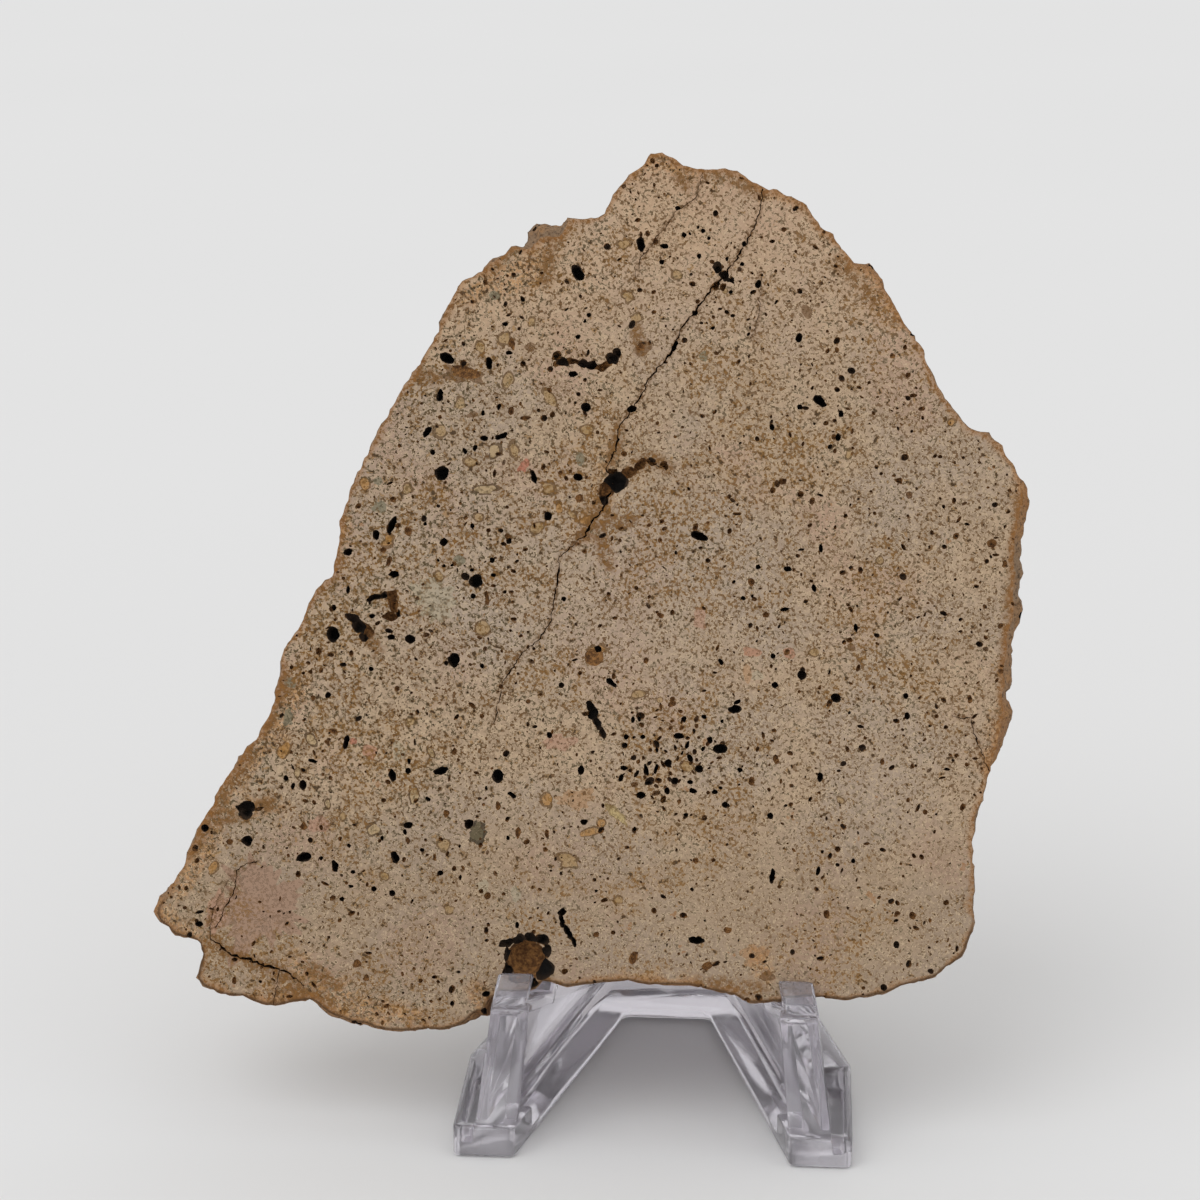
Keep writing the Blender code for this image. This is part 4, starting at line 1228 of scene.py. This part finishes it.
# %% Ground colour
cloud, blush, crowd = rock.parts(rock.noise(slanted, 0.075, output=1))
mottle = rock.noise(slanted, 0.33, 3.0, 0.6)
grain = rock.noise(slanted, 1.6, 3.0, 0.75)
off_middle = rock.vector("SUBTRACT", place, tuple(sight(540, 590)))
off_middle = rock.vector("MULTIPLY", off_middle, (1 / 28, 1 / 13, 0.0))
ashy = rock.step(rock.vector("LENGTH", off_middle, output=1), 1.4, 0.4)
# the ground is darker towards the bottom of the slab and lighter towards its top
low = rock.step(up, sight(600, 760).y, sight(600, 900).y)
high_up = rock.step(up, sight(700, 440).y, sight(700, 240).y)
seeped = rock.step(from_rust, mottle * 6.0 - 0.8, 0.1)
rust = rock.mix(rock.step(grain, 0.40, 0.60), paint(140, 88, 42), paint(188, 138, 82))
ground = rock.coats(
    paint(174, 149, 123),
    (rock.step(cloud, 0.40, 0.60), paint(165, 145, 126)),
    (rock.step(blush, 0.50, 0.66) * 0.7, paint(170, 138, 117)),
    (rock.step(mottle, 0.46, 0.66) * 0.5, paint(152, 131, 108)),
    (rock.step(grain, 0.50, 0.66) * 0.6, paint(190, 166, 135)),
    (rock.step(grain, 0.46, 0.34) * 0.6, paint(134, 114, 90)),
    (ashy * 0.45, paint(166, 149, 133)),
    (low * 0.40, paint(138, 118, 98)),
    (high_up * 0.5, paint(193, 160, 129)),
    (seeped * rock.step(grain, 0.30, 0.55) * 0.62, rust))
print("ground made of", len(rock.tree.nodes), "nodes")

# %% Specks and clasts
to_right = rock.step(across, -22.0, 12.0)
coarse = rock.noise(slanted, 1.2, 2.0, 0.6)
fine = rock.noise(slanted, 2.6, 2.0, 0.6)
crowding = (crowd - 0.5) * 0.14 + (mottle - 0.5) * 0.13 + seeped * 0.03 - low * 0.02
thread = rock.step(rock.math("ABSOLUTE", coarse - 0.5), 0.055, 0.010) * rock.step(fine + crowding, 0.43, 0.54)
fleck = rock.step(fine + crowding, 0.553, 0.612)
halo = rock.step(fine + crowding, 0.46, 0.55) * (1 - fleck)
patch = coarse + crowding * 0.5 - to_right * 0.03
ochre = rock.step(patch, 0.600, 0.625)
outline = rock.step(patch, 0.570, 0.600) * (1 - rock.step(patch, 0.612, 0.640)) * rock.step(fine, 0.38, 0.50)
blotch = rock.step(coarse * 0.75 + fine * 0.25 + crowding * 0.5 - to_right * 0.012, 0.608, 0.632)
dark = (thread * 0.85).most(fleck).most(outline * 0.7) * (0.96 - to_right * 0.14 - low * 0.16)
speck_colour = rock.mix(rock.step(mottle + to_right * 0.06, 0.42, 0.58), paint(80, 66, 40), paint(98, 66, 30))
cover = rock.read("clast", "Alpha")
cover = cover * rock.step(fine, 0.90, 0.45).most(rock.step(cover, 0.84, 0.92))
speckled = rock.coats(
    ground,
    (halo * 0.62, paint(206, 182, 150)),
    (ochre * 0.6, paint(150, 112, 58)),
    (dark, speck_colour),
    (blotch * 0.9, rock.mix(fine, paint(30, 24, 16), paint(84, 60, 34))),
    (cover, rock.read("clast", "Color")),
    (cover * dark * 0.42, speck_colour))
print("with specks and clasts", len(rock.tree.nodes), "nodes")

# %% Stains
LOW_EDGE = sight(600, 930).y         # below this height the front face is darker brown along the rim
LOW_RIM_FADE = 4.0
weathered = rock.step(crowd + (mottle - 0.5) * 0.9, 0.50, 0.66)
weathered = weathered * rock.step(grain * 0.5 + fine * 0.5, 0.47, 0.60)
broken = rock.step(fine, 0.36, 0.52)
rusted = rock.step(from_rim, mottle * 3.6 - 1.0, 0.0)
dark_low_rim = rock.step(up, LOW_EDGE + LOW_RIM_FADE, LOW_EDGE)
stained = rock.coats(
    speckled,
    (weathered * 0.6, paint(138, 98, 46)),
    (rock.step(from_crack, grain * 1.3, 0.05) * broken * 0.6, paint(100, 68, 36)),
    (rock.step(from_stain, grain * 2.8 - 0.1, 0.3) * (rock.step(grain, 0.40, 0.56) * 0.75 + 0.12),
     rock.mix(fine, paint(74, 46, 18), paint(150, 106, 54))),
    (rusted * 0.62 * (broken * 0.5 + 0.5), paint(146, 98, 50)),
    (rock.step(from_rim, grain * 0.9 - 0.1, 0.0) * dark_low_rim * 0.8, paint(66, 46, 26)))
print("with stains", len(rock.tree.nodes), "nodes")

# %% Broken side and hollows
side = rock.step(height, -0.02, -0.25) * (1 - rock.step(lining, 0.02, 0.1))
back_face = rock.step(height, -thickness + 0.05, -thickness + 0.01)
broken_side = rock.coats(
    paint(152, 114, 77),
    (rock.step(mottle, 0.35, 0.65), paint(134, 110, 86)),
    (seeped * 0.5, rust),
    (rock.step(grain, 0.5, 0.68) * 0.8, paint(84, 58, 32)),
    (rock.step(fine, 0.58, 0.66) * 0.7, paint(58, 42, 28)))
# inside the hollows, painted shade over the brown lining: near black deep down, dark brown nearer the face
shallow = rock.step(height, -0.60, -0.05)
painted_hole_shade = rock.step(lining + (fine - 0.5) * 1.1 - shallow * 0.45, 0.40, 0.62)
hollow = rock.coats(
    paint(84, 54, 27),
    (rock.step(grain, 0.36, 0.66), paint(150, 106, 60)),
    (painted_hole_shade, rock.mix(rock.step(height, -1.7, -0.4), paint(14, 10, 7), paint(56, 41, 28))))
colour = rock.coats(stained, (side * (1 - back_face), broken_side), (rock.step(lining, 0.05, 0.2), hollow))
print("with sides and hollows", len(rock.tree.nodes), "nodes")

# %% The stone's surface
pits = grain * (side * 0.16 + 0.10) - dark * 0.08
bump = rock.node("ShaderNodeBump", {"Strength": 0.9, "Distance": MM, "Height": pits})
rock.finish(Base_Color=colour, Roughness=0.78 + grain * 0.15, Normal=bump, Specular_IOR_Level=0.3)
print("suevite with", len(rock.tree.nodes), "nodes")

# %% [markdown]
# ## The easel
#
# The easel is moulded in one shot from clear plastic, so its shape is the frame's own: a base
# like a wishbone, two webs with a post and hook in front, and a rail behind. The frame's mesh
# is a soup of triangles; merged, and shaded smooth where its faces meet at small angles, it
# refracts as one solid piece.

# %% Easel mesh
EASEL_CREASE = math.radians(32.0)    # past which an edge of the plastic is sharp
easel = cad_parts["stand"].copy()
easel.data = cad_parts["stand"].data.copy()
for key in list(easel.keys()):
    del easel[key]
easel.name = "display_easel"
easel.parent = None
bpy.context.scene.collection.objects.link(easel)
bm = bmesh.new()
bm.from_mesh(easel.data)
bmesh.ops.remove_doubles(bm, verts=bm.verts, dist=1e-6)
print("easel closed:", is_closed(bm), len(bm.faces), "faces")
bm.to_mesh(easel.data)
bm.free()
easel.data.shade_smooth()
easel.data.set_sharp_from_angle(angle=EASEL_CREASE)

# %% [markdown]
# ## Clear plastic
#
# Moulded polystyrene is almost colourless, with a trace of blue to hide its yellow tint. Light
# passes through it and bends as in glass. A mirror-smooth surface would look like cut crystal,
# so the mould's slow flow marks bend its surface a little, and a fine haze dulls it.

# %% The plastic's surface
plastic = bpy.data.materials.new("clear_plastic")
clear = Paintwork(plastic)
flow = clear.noise(clear.own_place(), 55.0, Distortion=0.6)
haze = clear.noise(clear.own_place(), 900.0, 3.0)
ripple = clear.node("ShaderNodeBump", {"Strength": 0.12, "Distance": 0.0006, "Height": flow})
clear.finish(Base_Color=(0.865, 0.835, 0.89, 1.0), Roughness=clear.step(haze, 0.35, 0.8) * 0.08 + 0.08,
             Transmission_Weight=0.90, IOR=1.49, Normal=ripple)
easel.data.materials.clear()
easel.data.materials.append(plastic)
print("clear plastic with", len(clear.tree.nodes), "nodes")

# %% [markdown]
# ## Floor and light
#
# The easel stands on a plain pale floor, wide enough to fill the view. The light is that
# of a white tent: as bright from every side, with one broad lamp above the left shoulder of
# the camera, so far off that it lights the floor evenly from edge to edge.

# %% Floor
FLOOR_GAP = 0.0002       # under the easel's feet, so that its plastic does not touch the floor
FLOOR_HALF = 6.0         # metres from its middle to its edge
floor_mesh = bpy.data.meshes.new("floor")
bm = bmesh.new()
bmesh.ops.create_grid(bm, x_segments=1, y_segments=1, size=FLOOR_HALF)
bm.to_mesh(floor_mesh)
bm.free()
floor = in_scene("floor", floor_mesh)
floor.location = (0.0, 0.0, cad_box[0].z - FLOOR_GAP)
floor_mesh.materials.append(bpy.data.materials.new("pale_floor"))
table = Paintwork(floor_mesh.materials[0])
tone = table.mix(table.noise(table.own_place(), 9.0, 0.0), paint(225, 225, 225), paint(226, 226, 226))
table.finish(Base_Color=tone, Roughness=0.9, Specular_IOR_Level=0.0)
print("floor", 2 * FLOOR_HALF, "m wide")

# %% Lights
TENT = 0.86              # radiance from every side
LAMP = 0.60              # of the broad lamp
LAMP_SPREAD = math.radians(40.0)
LAMP_FROM = Vector((-0.45, -0.55, 1.0))
lamp = bpy.data.lights.new("broad_lamp", "SUN")
lamp.energy = LAMP
lamp.angle = LAMP_SPREAD
in_scene("broad_lamp", lamp).rotation_euler = LAMP_FROM.to_track_quat("Z", "Y").to_euler()
world = bpy.data.worlds.new("studio")
world.use_nodes = True
world.node_tree.nodes["Background"].inputs["Color"].default_value = (1.0, 1.0, 1.0, 1.0)
world.node_tree.nodes["Background"].inputs["Strength"].default_value = TENT
bpy.context.scene.world = world
bpy.context.scene.view_settings.view_transform = "Standard"
print("floor lit to", round(TENT + LAMP * LAMP_FROM.normalized().z / math.pi, 3))

# %% [markdown]
# ## Handing over
#
# Both pieces ride on the frame's one body, and the frame's nodes whose place they take are
# hidden.

# %% Hand over
for piece, node, finish in ((stone, "slab", "suevite"), (easel, "stand", "clear_plastic")):
    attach(piece, "root")
    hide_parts(node)
    print(piece.name, triangles(piece), "triangles for", node)
